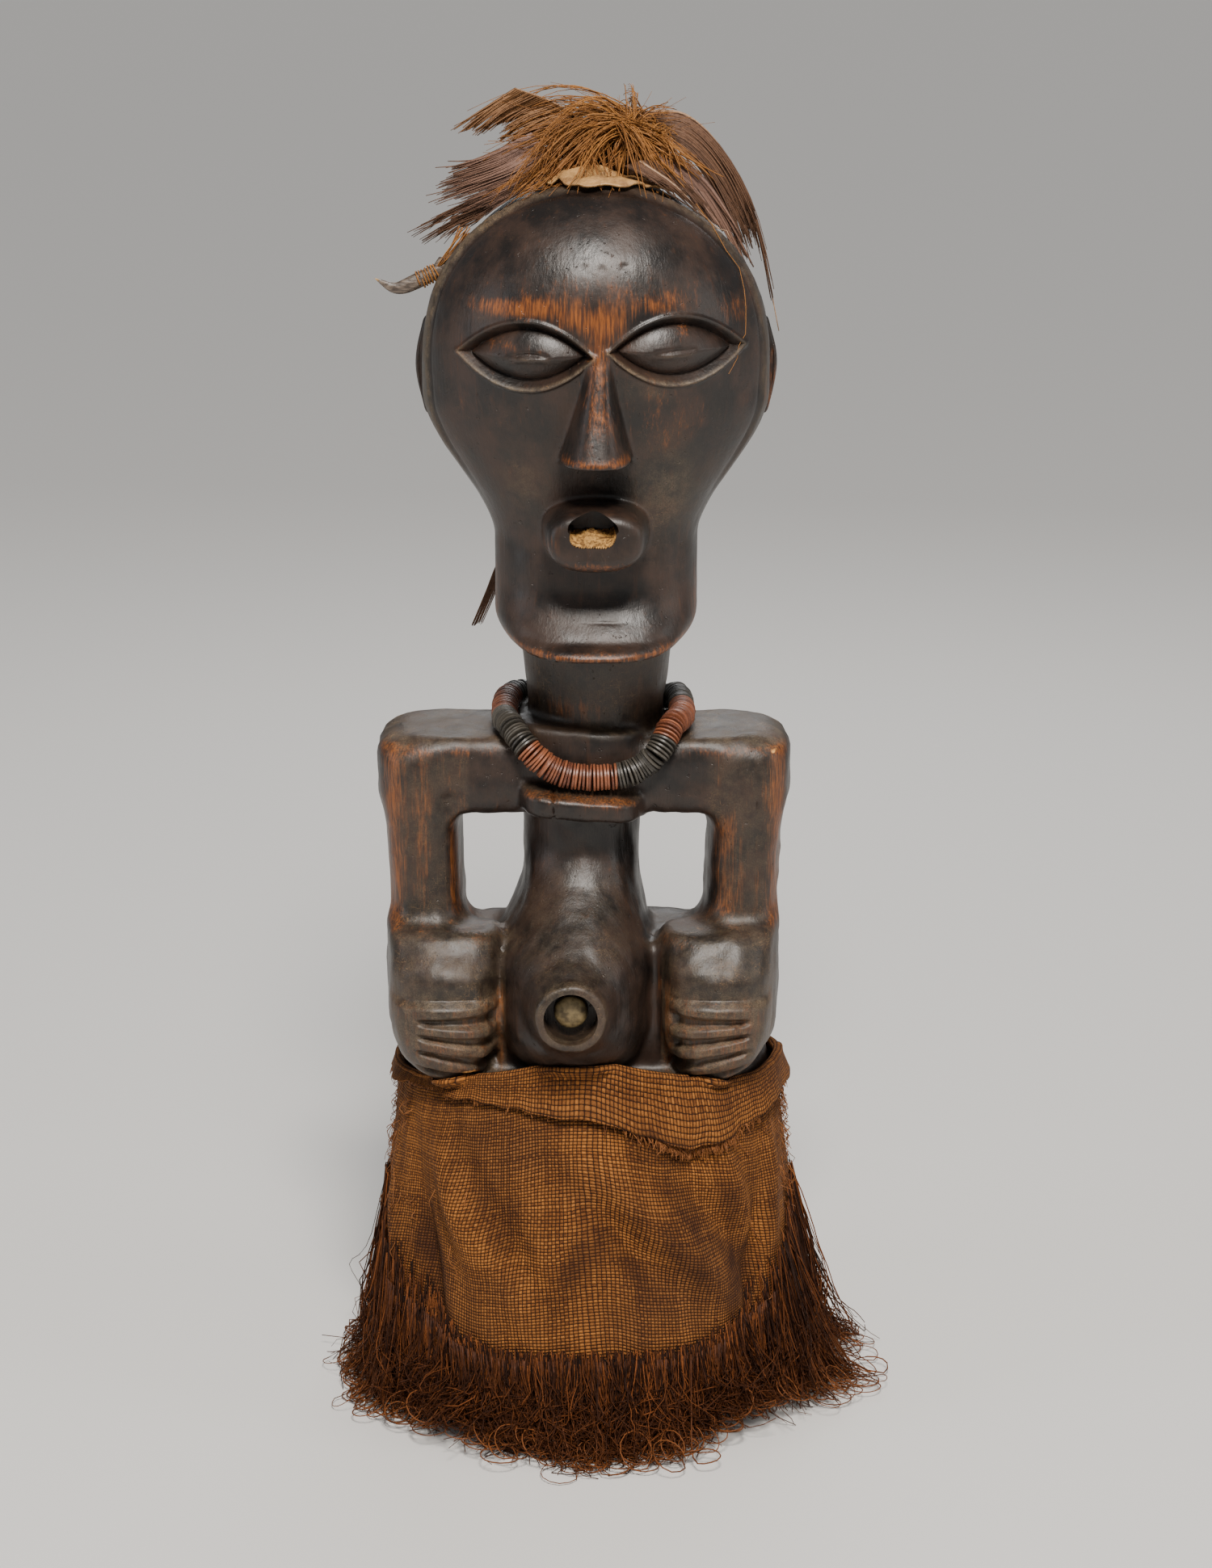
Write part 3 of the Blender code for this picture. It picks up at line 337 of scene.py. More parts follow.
def eye_relief(x, z):
    """A lip round each eye, a bevel down from it, and a bulging lid with a short slit."""
    relief = np.zeros_like(x)
    for side in (-1.0, 1.0):
        inside, along = eye_depth(x, z, side)
        near = np.abs(along) < 1.12
        relief += near * 1.2 * bump(inside, -0.9, 1.2)
        relief -= 5.2 * ramp(inside, -0.2, 4.2)
        relief += 8.8 * np.clip((inside - 4.0) / 14.0, 0.0, 1.0) ** 0.62
        slit_x = (x - EYE_MIDDLE_X - side * 38.0) / 11.5
        slit_z = 622.0 + side * 0.8 - 1.6 * slit_x**2 * (side < 0) + 0.5 * slit_x
        within = np.clip(1.0 - slit_x**2, 0.0, 1.0) ** 0.6
        relief -= 1.5 * within * bump(z, slit_z, 1.1)
        relief += 0.8 * within * bump(z, slit_z - 2.6, 1.5)
    return relief


GROOVES = ((241.0, 0.02, 1.7), (228.0, 0.15, 1.5), (214.5, 0.26, 1.7), (202.5, 0.30, 1.3))


def finger_relief(x, z):
    """Wedge-shaped grooves part the five fingers, widest at their tips."""
    relief = np.zeros_like(x)
    for side in (-1.0, 1.0):
        outward = side * (x - HANDS_X) - 48.0
        within = ramp(outward, -1.0, 2.5) * ramp(outward, 48.0, 40.0)
        for level, slope, width in GROOVES:
            wide = width * (1.75 - 0.022 * np.clip(outward, 0.0, 45.0))
            line = level + slope * (outward - 12.0)
            relief -= 4.4 * ramp(bump(z, line, 1.75 * wide), 0.2, 0.95) * within
    return relief


def rim_line(z):
    """How far forward the edge of the face lies at each level."""
    return -18.0 - 34.0 * ramp(z, 612.0, 700.0)


def band_line(z):
    """How far forward the groove beside the band lies at each level."""
    return -49.0 - 8.0 * ramp(z, 640.0, 700.0)


def face_rim_relief(points):
    """The step behind the face, and the groove that sets off the band along its edge."""
    _, y, z = points.T
    height = ramp(z, 500.0, 560.0)
    step = 4.5 * ramp(y, rim_line(z) + 3.0, rim_line(z) + 6.5)
    behind = y - band_line(z)
    groove = 1.4 * bump(behind, 0.0, 2.3) * ramp(z, 530.0, 575.0)
    band = 0.5 * ramp(behind, 1.5, 5.0) * ramp(behind, 18.0, 13.0)
    return -step * height - groove + band * height


def chin_rim(x, level, rise):
    """The lower edge of the beard, which rises towards its corners."""
    return level + rise * (np.abs(x - HEAD_X) / 55.0) ** 5


def relief(points):
    """How far the fine carving stands out from the blocked-out figure."""
    x, y, z = points.T
    facing = ramp(-y, 30.0, 52.0)
    detail = eye_relief(x, z) * facing * (z > 590.0) * (z < 650.0)
    detail += finger_relief(x, z) * facing * ramp(z, 262.0, 254.0)
    detail += face_rim_relief(points) * (z > 495.0)
    # The furrow down the back
    back = ramp(z, 215.0, 245.0) * ramp(z, 392.0, 370.0) * ramp(y, 15.0, 28.0)
    detail -= 3.5 * bump(x, TORSO_X, 6.0) * back
    # The backs of the hands swell a little
    across = np.clip(1.0 - ((np.abs(x - HANDS_X) - 75.0) / 30.0) ** 2, 0.0, 1.0)
    detail += 2.2 * across * bump(z, 262.0, 17.0) * ramp(-y, 40.0, 60.0)
    # The hollow of each ear
    detail -= 3.0 * blob(y, z, 8.5, 598.0, 7.0, 17.0) * ramp(np.abs(x - HEAD_X), 88.0, 92.0)
    # The rolled rim under the chin
    chin = ramp(-y, 60.0, 80.0) * (z < 500.0)
    rim = chin_rim(x, 456.5, 9.0)
    detail += chin * (0.9 * bump(z, rim, 3.0) - 0.9 * bump(z, rim + 6.0, 2.6))
    # Cracks and pits: the collar, the right arm, the forehead and the chin
    collar = (z > 350.0) * (z < 372.0) * ramp(-y, 44.0, 52.0)
    detail -= 1.8 * bump(x, -18.9 + 0.6 * np.sin(z * 0.9), 0.7) * collar
    arm = ramp(z, 288.0, 300.0) * ramp(z, 374.0, 366.0) * (y < 0.0) * (x > 60.0)
    detail -= 1.6 * bump(x, 94.5 + 0.8 * np.sin(z * 0.13), 0.8) * arm
    brow = (z > 650.0) * (z < 680.0) * (y < -60.0)
    for pit_x, pit_z, size in ((8.1, 665.7, 1.5), (19.5, 667.0, 2.0), (-1.5, 667.5, 0.9), (-2.0, 672.0, 0.8)):
        detail -= 0.9 * brow * blob(x, z, pit_x, pit_z, size, size * 0.7)
    chin_mark = (z > 460.0) * (z < 485.0) * (y < -60.0)
    detail -= 0.5 * chin_mark * blob(x, z, 10.0, 471.5, 9.0, 0.5)
    # The chip out of the hand and the hacked notch by the armpit
    detail -= 1.5 * blob(x, z, -66.5, 207.0, 5.5, 3.0) * (y < -40.0)
    detail -= 4.0 * blob(x, z, -78.0, 360.0, 7.0, 6.0) * (y < -20.0)
    return detail


def smooth_distance(points):
    """The distance to the blocked-out figure, before its fine carving."""
    distance = MASSES[0].distance(points)
    for mass in MASSES[1:]:
        distance = smooth_min(distance, mass.distance(points), mass.blend)
    return distance


def figure_distance(points):
    return smooth_distance(points) - relief(points)


def gap_and_normal(points, distance_of=figure_distance):
    """Each point's gap to the figure, and the unit direction straight away from it."""
    probe = 0.15
    value = distance_of(points)
    slope = np.stack([(distance_of(points + probe * axis) - value) / probe for axis in np.eye(3)], axis=1)
    steepness = np.maximum(np.linalg.norm(slope, axis=1), 0.5)
    return value / steepness, slope / steepness[:, None]


def onto_figure(points, offset=0.0, steps=6, longest=4.0, distance_of=figure_distance):
    points = np.array(points, float)
    for _ in range(steps):
        gap, normal = gap_and_normal(points, distance_of)
        points -= np.clip(gap - offset, -longest, longest)[:, None] * normal
    return points


def push_out(points, offset, steps=6):
    """Moves only the points that are nearer than offset to the wood."""
    shape = np.shape(points)
    points = np.array(points, float).reshape(-1, 3)
    for _ in range(steps):
        gap, normal = gap_and_normal(points)
        points += np.maximum(offset - gap, 0.0)[:, None] * normal
    return points.reshape(shape)


def drop_onto(points):
    """Moves points straight down from above the crown until they touch the head."""
    points = points.copy()
    low, high = np.full(len(points), WIDEST_Z), np.full(len(points), CROWN_Z + 20.0)
    for _ in range(20):
        points[:, 2] = (low + high) / 2.0
        inside = figure_distance(points) < 0.0
        low, high = np.where(inside, points[:, 2], low), np.where(inside, high, points[:, 2])
    return points


def curve_through(controls, count):
    """Points along a smooth curve through the control points."""
    controls = np.array(controls, float)
    padded = np.vstack([2 * controls[0] - controls[1], controls, 2 * controls[-1] - controls[-2]])
    spans = len(controls) - 1
    points = []
    for value in np.linspace(0.0, spans, count):
        i = min(int(value), spans - 1)
        t = value - i
        a, b, c, d = padded[i : i + 4]
        square, cube = (2 * a - 5 * b + 4 * c - d) * t**2, (3 * b - a - 3 * c + d) * t**3
        points.append(0.5 * (2 * b + (c - a) * t + square + cube))
    return np.array(points)


def roughen(points, scale, seed=0.0):
    """Soft noise between -1 and 1 at each point; scale is the size of its lumps in millimetres."""
    offset = Vector((seed, seed * 1.7, -seed))
    return np.array([noise.noise(Vector(p) / scale + offset) for p in points])


class Finish:
    """A node material. Each method adds a node and gives its output."""

    def __init__(self, name):
        self.material = bpy.data.materials.new(name)
        self.material.use_nodes = True
        self.tree = self.material.node_tree
        self.shader = self.tree.nodes["Principled BSDF"]

    def put(self, socket, value):
        if isinstance(value, bpy.types.NodeSocket):
            self.tree.links.new(value, socket)
        elif isinstance(value, tuple) and socket.type == "RGBA":
            socket.default_value = (*value, 1.0)
        else:
            socket.default_value = value

    def add(self, kind, inputs=None, **settings):
        node = self.tree.nodes.new(kind)
        for key, value in settings.items():
            setattr(node, key, value)
        for key, value in (inputs or {}).items():
            self.put(node.inputs[key], value)
        return node

    def place(self, stretch=(1.0, 1.0, 1.0), shift=(0.0, 0.0, 0.0)):
        spot = self.add("ShaderNodeTexCoord").outputs["Object"]
        return self.add("ShaderNodeMapping", {"Vector": spot, "Scale": stretch, "Location": shift}).outputs[0]

    def noise(self, scale, where=None, detail=3.0, roughness=0.55, distortion=0.0):
        inputs = {"Vector": where or self.place(), "Scale": scale, "Detail": detail}
        inputs.update({"Roughness": roughness, "Distortion": distortion})
        return self.add("ShaderNodeTexNoise", inputs).outputs[0]

    def math(self, operation, a, b=0.0, clamp=False):
        node = self.add("ShaderNodeMath", operation=operation, use_clamp=clamp)
        self.put(node.inputs[0], a)
        self.put(node.inputs[1], b)
        return node.outputs[0]

    def plus(self, a, b, clamp=False):
        return self.math("ADD", a, b, clamp)

    def minus(self, a, b):
        return self.math("SUBTRACT", a, b)

    def times(self, a, b):
        return self.math("MULTIPLY", a, b)

    def sway(self, value, noise_value, amount):
        """The value, raised and lowered by a noise about its middle."""
        return self.plus(value, self.times(self.minus(noise_value, 0.5), amount))

    def choose(self, factor, a, b):
        node = self.add("ShaderNodeMix", data_type="FLOAT")
        for index, value in ((0, factor), (2, a), (3, b)):
            self.put(node.inputs[index], value)
        return node.outputs[0]

    def span(self, value, low, high, to_low=0.0, to_high=1.0):
        inputs = {"Value": value, "From Min": low, "From Max": high, "To Min": to_low, "To Max": to_high}
        return self.add("ShaderNodeMapRange", inputs, interpolation_type="SMOOTHSTEP").outputs[0]

    def mix(self, factor, a, b):
        node = self.add("ShaderNodeMix", data_type="RGBA")
        self.put(node.inputs[0], factor)
        self.put(node.inputs[6], a)
        self.put(node.inputs[7], b)
        return node.outputs[2]

    def channels(self, name):
        colour = self.add("ShaderNodeAttribute", attribute_name=name).outputs["Color"]
        return self.add("ShaderNodeSeparateColor", {"Color": colour}).outputs

    def bump(self, height, distance, strength=1.0, normal=None):
        inputs = {"Height": height, "Distance": distance, "Strength": strength}
        if normal:
            inputs["Normal"] = normal
        return self.add("ShaderNodeBump", inputs).outputs[0]

    def finish(self, **sockets):
        for key, value in sockets.items():
            self.put(self.shader.inputs[SOCKETS[key]], value)
        return self.material


SOCKETS = {"colour": "Base Color", "roughness": "Roughness", "normal": "Normal", "coat": "Coat Weight"}
SOCKETS.update({"coat_roughness": "Coat Roughness", "specular": "Specular IOR Level"})


def wood_finish():
    """Near-black wood with a soft shine, worn to orange on its edges and dusty in its corners, with a painted
    highlight on the eyes' lower lips and a painted sheen on the arms' fronts in the dust's grey.
    """
    f = Finish("carved_wood")
    worn, dust_and_highlight, raw = f.channels("wear_and_painted_light")
    grain = f.noise(1.0, f.place((900.0, 900.0, 60.0)), 4.0, 0.65)
    streaks = f.noise(1.0, f.place((240.0, 240.0, 18.0)), 3.0, 0.6)
    cloudy = f.noise(34.0, detail=5.0, roughness=0.65)
    fine = f.noise(1400.0, detail=2.0)
    colour = f.mix(f.span(cloudy, 0.36, 0.66), (0.0060, 0.0041, 0.0033), (0.028, 0.0145, 0.0090))
    colour = f.mix(f.span(streaks, 0.55, 0.8, 0.0, 0.45), colour, (0.052, 0.021, 0.0095))
    rub = worn
    for noise_value, amount in ((grain, 0.9), (streaks, 0.9), (cloudy, 0.7)):
        rub = f.sway(rub, noise_value, amount)
    rub = f.span(rub, 0.20, 1.0)
    orange = f.mix(f.span(grain, 0.35, 0.7), (0.058, 0.016, 0.0040), (0.245, 0.074, 0.0110))
    colour = f.mix(rub, colour, orange)
    # The grey of the dust, which also carries the painted highlight on the eyes' lips and the painted sheen on the
    # arms
    dust_and_highlight_share = f.times(dust_and_highlight, f.span(f.noise(150.0, detail=5.0, roughness=0.7), 0.3, 0.68, 0.15, 1.0))
    grey = f.mix(f.span(fine, 0.4, 0.6), (0.105, 0.072, 0.042), (0.21, 0.155, 0.092))
    colour = f.mix(f.times(dust_and_highlight_share, 0.7), colour, grey)
    # Fine pale scratches, in two directions
    marks = None
    for stretch, seed in (((60.0, 60.0, 420.0), 0.0), ((330.0, 330.0, 70.0), 4.0), ((220.0, 90.0, 260.0), 9.0)):
        wavy = f.noise(1.0, f.place(stretch, (seed, seed, 0.0)), 2.0, 0.4, 0.6)
        line = f.span(f.math("ABSOLUTE", f.minus(wavy, 0.5)), 0.0, 0.007, 1.0, 0.0)
        marks = line if marks is None else f.math("MAXIMUM", marks, line)
    where = f.span(f.noise(46.0, detail=3.0), 0.50, 0.66)
    marks = f.times(marks, f.times(where, f.span(dust_and_highlight, 0.0, 0.4, 0.10, 0.75)))
    colour = f.mix(marks, colour, (0.23, 0.135, 0.062))
    bare = f.mix(f.span(grain, 0.3, 0.7), (0.42, 0.16, 0.035), (0.72, 0.38, 0.11))
    broken = f.sway(raw, f.noise(330.0, detail=4.0), 0.75)
    colour = f.mix(f.span(broken, 0.42, 0.62), colour, bare)
    rough = f.plus(f.span(cloudy, 0.3, 0.7, 0.36, 0.50), f.times(dust_and_highlight_share, 0.26))
    rough = f.plus(rough, f.times(f.span(raw, 0.4, 0.6), 0.25), clamp=True)
    normal = f.bump(f.noise(70.0, detail=4.0), 0.0007, 0.6)
    normal = f.bump(streaks, 0.0006, 0.45, normal)
    normal = f.bump(grain, 0.00025, 0.6, normal)
    pits = f.noise(300.0, detail=2.0)
    normal = f.bump(f.span(pits, 0.68, 0.76, 1.0, 0.0), 0.0005, 0.7, normal)
    return f.finish(colour=colour, roughness=rough, normal=normal, specular=0.45, coat=0.08, coat_roughness=0.38)


def raw_wood_finish():
    """Broken, uncoloured wood inside the mouth."""
    f = Finish("raw_wood")
    lump = f.noise(420.0, detail=5.0, roughness=0.7)
    colour = f.mix(f.span(lump, 0.38, 0.62), (0.15, 0.065, 0.014), (0.66, 0.36, 0.10))
    normal = f.bump(lump, 0.0016, 1.0)
    return f.finish(colour=colour, roughness=f.span(lump, 0.3, 0.7, 0.75, 0.5), normal=normal)


def plug_finish():
    f = Finish("plug_wood")
    lump = f.noise(170.0, detail=5.0, roughness=0.6)
    colour = f.mix(f.span(lump, 0.34, 0.68), (0.060, 0.042, 0.018), (0.25, 0.185, 0.085))
    normal = f.bump(lump, 0.0005, 0.6)
    return f.finish(colour=colour, roughness=f.span(lump, 0.3, 0.7, 0.62, 0.42), normal=normal)


def bead_finish(name, low, high):
    f = Finish(name)
    tone, _, _ = f.channels("fibre")
    rings = f.noise(1900.0, detail=2.0)
    colour = f.mix(tone, low, high)
    colour = f.mix(f.span(rings, 0.42, 0.75, 0.0, 0.45), colour, tuple(min(1.0, c * 1.9) for c in high))
    rough = f.span(f.noise(600.0), 0.3, 0.7, 0.34, 0.52)
    return f.finish(colour=colour, roughness=rough, normal=f.bump(rings, 0.0002, 0.5))


def fibre_finish(name, dark, light, tip, roughness=0.6, specular=0.3):
    """A finish for fibres: each has its own tone, and its tip is a little different."""
    f = Finish(name)
    tone, along, _ = f.channels("fibre")
    colour = f.mix(tone, dark, light)
    colour = f.mix(f.times(along, 0.65), colour, tip)
    spots = f.noise(700.0, detail=3.0)
    colour = f.mix(f.span(spots, 0.45, 0.75, 0.0, 0.55), colour, dark)
    rough = f.span(spots, 0.3, 0.7, roughness - 0.1, roughness + 0.1)
    return f.finish(colour=colour, roughness=rough, normal=f.bump(spots, 0.0002, 0.5), specular=specular)


def matting_finish(name, dark, light, stretch):
    """Crushed fibre: hairs drawn out along the axis with the smallest stretch."""
    f = Finish(name)
    hairs = f.noise(1.0, f.place(stretch), 5.0, 0.7)
    colour = f.mix(f.span(hairs, 0.35, 0.7), dark, light)
    rough = f.span(hairs, 0.3, 0.7, 0.95, 0.75)
    return f.finish(colour=colour, roughness=rough, normal=f.bump(hairs, 0.003, 1.0))


def cloth_finish():
    """Plain-woven raffia: broad uneven threads over and under each other, with stains, painted shade in the gaps
    between the threads and painted shade in the folds.
    """
    f = Finish("raffia_weave")
    across_pitch, up_pitch = 0.0020, 0.0017
    uv = f.add("ShaderNodeUVMap", uv_map="weave").outputs[0]
    drift = f.add("ShaderNodeTexNoise", {"Vector": uv, "Scale": 30.0, "Detail": 2.0}).outputs["Color"]
    wander = f.add("ShaderNodeVectorMath", {0: drift, 1: (0.0032, 0.0032, 0.0)}, operation="MULTIPLY").outputs[0]
    uv = f.add("ShaderNodeVectorMath", {0: uv, 1: wander}, operation="ADD").outputs[0]
    parts = f.add("ShaderNodeSeparateXYZ", {0: uv}).outputs
    u, v = f.math("DIVIDE", parts[0], across_pitch), f.math("DIVIDE", parts[1], up_pitch)
    cell_u, cell_v = f.math("FLOOR", u), f.math("FLOOR", v)
    in_u, in_v = f.math("FRACT", u), f.math("FRACT", v)
    odd = f.math("PINGPONG", f.plus(cell_u, cell_v), 1.0)

    def hump(share, power):
        far = f.math("ABSOLUTE", f.minus(f.times(share, 2.0), 1.0))
        return f.minus(1.0, f.math("POWER", far, power))

    def thread(across, along, cell, seed):
        height = f.times(hump(across, 2.2), f.plus(0.14, f.times(hump(along, 3.0), 0.86)))
        where = f.add("ShaderNodeCombineXYZ", {0: cell, 1: seed}).outputs[0]
        tone = f.add("ShaderNodeTexWhiteNoise", {"Vector": where}, noise_dimensions="2D")
        return height, tone.outputs["Value"]

    warp, warp_tone = thread(in_u, in_v, cell_u, 3.0)
    weft, weft_tone = thread(in_v, in_u, cell_v, 8.0)
    height = f.choose(odd, warp, weft)
    tone = f.choose(odd, warp_tone, weft_tone)
    fleck = f.noise(420.0, detail=3.0, roughness=0.7)
    shade = f.plus(f.times(tone, 0.34), f.times(fleck, 0.85))
    colour = f.mix(f.span(shade, 0.2, 0.95), (0.105, 0.032, 0.0065), (0.40, 0.150, 0.030))
    stain = f.span(f.noise(11.0, detail=5.0, roughness=0.62), 0.40, 0.74, 0.0, 0.70)
    colour = f.mix(stain, colour, f.mix(tone, (0.055, 0.020, 0.008), (0.15, 0.060, 0.020)))
    # Painted shade in the low gaps between the threads
    colour = f.mix(f.span(height, 0.10, 0.62, 1.0, 0.0), colour, (0.020, 0.0062, 0.0022))
    # Painted shade in the folds, read from the mesh, with broad stains laid over it
    fold_shade_and_stain, _, _ = f.channels("wear_and_painted_light")
    fold_shade_and_stain = f.times(fold_shade_and_stain, f.span(f.noise(60.0, detail=4.0), 0.3, 0.6, 0.35, 0.8))
    broad = f.noise(26.0, detail=3.0)
    fold_shade_and_stain = f.plus(fold_shade_and_stain, f.span(broad, 0.34, 0.56, 0.26, 0.0), clamp=True)
    colour = f.mix(f.times(fold_shade_and_stain, 0.8), colour, (0.030, 0.0085, 0.0030))
    lift = f.plus(height, f.times(fleck, 0.25))
    return f.finish(colour=colour, roughness=0.82, normal=f.bump(lift, 0.0012, 0.9), specular=0.22)


def hide_finish():
    f = Finish("dried_hide")
    patch = f.noise(90.0, detail=5.0, roughness=0.65)
    colour = f.mix(f.span(patch, 0.35, 0.7), (0.50, 0.285, 0.105), (0.19, 0.092, 0.032))
    colour = f.mix(f.span(f.noise(700.0), 0.62, 0.75, 0.0, 0.7), colour, (0.16, 0.085, 0.035))
    normal = f.bump(f.noise(120.0, detail=5.0), 0.0030, 0.9)
    return f.finish(colour=colour, roughness=f.span(patch, 0.3, 0.7, 0.42, 0.62), normal=normal)


def claw_finish():
    f = Finish("claw_horn")
    _, along, _ = f.channels("fibre")
    streak = f.noise(1.0, f.place((180.0, 900.0, 900.0)), 4.0)
    colour = f.mix(f.span(streak, 0.35, 0.7), (0.045, 0.033, 0.026), (0.15, 0.115, 0.088))
    colour = f.mix(f.span(along, 0.93, 1.0), colour, (0.42, 0.24, 0.08))
    return f.finish(colour=colour, roughness=f.span(streak, 0.3, 0.7, 0.32, 0.5), normal=f.bump(streak, 0.0004, 0.7))


def numpy_mesh(name, points, quads=(), triangles=()):
    """A mesh from arrays of corners, given in millimetres about the figure's axis."""
    mesh = bpy.data.meshes.new(name)
    quads = np.asarray(quads, np.int32).reshape(-1, 4)
    triangles = np.asarray(triangles, np.int32).reshape(-1, 3)
    corners = np.concatenate([quads.ravel(), triangles.ravel()])
    totals = np.concatenate([np.full(len(quads), 4), np.full(len(triangles), 3)]).astype(np.int32)
    starts = np.concatenate([[0], np.cumsum(totals)[:-1]]).astype(np.int32)
    mesh.vertices.add(len(points))
    mesh.vertices.foreach_set("co", (np.asarray(points, float) * MM + (SHIFT, 0.0, 0.0)).ravel())
    mesh.loops.add(len(corners))
    mesh.loops.foreach_set("vertex_index", corners)
    mesh.polygons.add(len(totals))
    mesh.polygons.foreach_set("loop_start", starts)
    mesh.update(calc_edges=True)
    mesh.validate()
    return mesh


def paint(mesh, name, *values):
    """Stores up to three numbers a vertex, for the material to read."""
    layer = mesh.attributes.new(name, "FLOAT_COLOR", "POINT")
    colours = np.ones((len(mesh.vertices), 4))
    colours[:, :3] = 0.0
    for channel, value in enumerate(values):
        colours[:, channel] = value
    layer.data.foreach_set("color", colours.ravel())


def placed(name, data):
    """Adds an object with this data to the scene."""
    obj = bpy.data.objects.new(name, data)
    bpy.context.scene.collection.objects.link(obj)
    return obj


def piece(mesh, finish, slot, *replaced):
    """Adds the mesh to the scene under its own name, as a piece that rides on the body."""
    obj = placed(mesh.name, mesh)
    mesh.materials.clear()
    mesh.materials.append(finish)
    mesh.shade_smooth()
    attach(obj, "root")
    if replaced:
        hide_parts(*replaced)
    return obj


def bmesh_to(mesh, bm):
    bm.to_mesh(mesh)
    bm.free()
    return mesh


def applied(obj):
    """Replaces the object's mesh with what its modifiers make of it."""
    bpy.context.view_layer.update()
    graph = bpy.context.evaluated_depsgraph_get()
    made = bpy.data.meshes.new_from_object(obj.evaluated_get(graph), depsgraph=graph)
    obj.modifiers.clear()
    obj.data = made
    return obj


def thickened(obj, thickness, offset):
    """Gives a sheet its thickness, in millimetres."""
    thick = obj.modifiers.new("Thickness", "SOLIDIFY")
    thick.thickness = thickness * MM
    thick.offset = offset
    return applied(obj)


def points_of(mesh):
    points = np.empty(len(mesh.vertices) * 3)
    mesh.vertices.foreach_get("co", points)
    return points.reshape(-1, 3)


def put_points(mesh, points):
    mesh.vertices.foreach_set("co", np.ascontiguousarray(points).ravel())
    mesh.update()


def fibre_mesh(name, paths, radii, tones, facing=None, flat=1.0):
    """Thin three-sided fibres: paths is fibres by points by 3, and radii fibres by points.

    facing is the direction that a flattened fibre's broad side looks, one for each fibre.
    """
    count, steps = paths.shape[:2]
    tangent = np.gradient(paths, axis=1)
    tangent /= np.maximum(np.linalg.norm(tangent, axis=2, keepdims=True), 1e-9)
    if facing is None:
        facing = RANDOM.normal(size=(count, 3))
    side = np.cross(tangent, facing[:, None, :])
    side /= np.maximum(np.linalg.norm(side, axis=2, keepdims=True), 1e-9)
    top = np.cross(side, tangent)
    rings = []
    for angle in (-math.pi / 6, math.pi / 2, math.pi * 7 / 6):
        offset = math.cos(angle) * side + math.sin(angle) * flat * top
        rings.append(paths + offset * radii[:, :, None])
    points = np.stack(rings, axis=2).reshape(-1, 3)
    index = np.arange(count * steps * 3).reshape(count, steps, 3)
    quads = []
    for j in range(3):
        k = (j + 1) % 3
        quads.append(np.stack([index[:, :-1, j], index[:, :-1, k], index[:, 1:, k], index[:, 1:, j]], axis=-1))
    quads = np.stack(quads).reshape(-1, 4)
    caps = np.concatenate([index[:, 0, ::-1], index[:, -1, :]])
    mesh = numpy_mesh(name, points, quads, caps)
    along = np.broadcast_to(np.linspace(0.0, 1.0, steps)[None, :, None], index.shape)
    tone = np.broadcast_to(np.asarray(tones)[:, None, None], index.shape)
    paint(mesh, "fibre", tone.ravel(), along.ravel())
    return mesh


def look(obj, direction):
    obj.rotation_euler = Vector(direction).to_track_quat("-Z", "Y").to_euler()


# The camera, the lights and the floor
def camera_and_light():
    camera = placed("camera", bpy.data.cameras.new("camera"))
    camera.data.lens = 81.0
    camera.data.sensor_width = 36.0
    camera.data.clip_end = 100.0
    camera.location = (0.0, -1.94, 0.914)
    look(camera, Vector((0.0, 0.0, 0.359)) - camera.location)
    bpy.context.scene.camera = camera

    for name, place, aim, size, power, colour in (
        ("key", (0.08, -1.35, 1.85), (0.0, 0.0, 0.42), (0.45, 0.40), 46.0, (1.0, 0.93, 0.85)),
        ("fill_left", (-1.8, -0.7, 0.8), (0.0, 0.0, 0.35), (0.7, 1.3), 7.0, (0.96, 0.97, 1.0)),
        ("fill_right", (1.8, -0.6, 0.9), (0.0, 0.0, 0.35), (0.7, 1.3), 8.0, (1.0, 0.97, 0.93)),
        ("back", (0.2, 1.7, 1.5), (0.0, 0.0, 0.45), (1.4, 0.8), 12.0, (1.0, 1.0, 1.0)),
    ):
        data = bpy.data.lights.new(name, "AREA")
        data.shape = "ELLIPSE"
        data.size, data.size_y = size
        data.energy = power
        data.color = colour
        lamp = placed(name, data)
        lamp.location = place
        look(lamp, Vector(aim) - Vector(place))
    sun = bpy.data.lights.new("overhead", "SUN")
    sun.energy = 1.5
    sun.angle = math.radians(20.0)
    sun.color = (1.0, 0.97, 0.94)
    look(placed("overhead", sun), (-0.12, 0.75, -1.0))

    world = bpy.data.worlds.new("studio")
    world.use_nodes = True
    world.node_tree.nodes["Background"].inputs[0].default_value = (0.80, 0.81, 0.83, 1.0)
    world.node_tree.nodes["Background"].inputs[1].default_value = 0.26
    bpy.context.scene.world = world

    bm = bmesh.new()
    bmesh.ops.create_grid(bm, x_segments=2, y_segments=2, size=40.0)
    mesh = bmesh_to(bpy.data.meshes.new("floor"), bm)
    f = Finish("floor_paper")
    mesh.materials.append(f.finish(colour=(0.72, 0.71, 0.69), roughness=0.9, specular=0.2))
    floor = placed("floor", mesh)


def refine(bm, chosen):
    """Splits each of the chosen faces in four."""
    edges = {edge for face in bm.faces if chosen(face.calc_center_median()) for edge in face.edges}
    bmesh.ops.subdivide_edges(bm, edges=list(edges), cuts=1, use_grid_fill=True)


def on_face(p):
    return p.y < -42.0 and 455.0 < p.z < 690.0


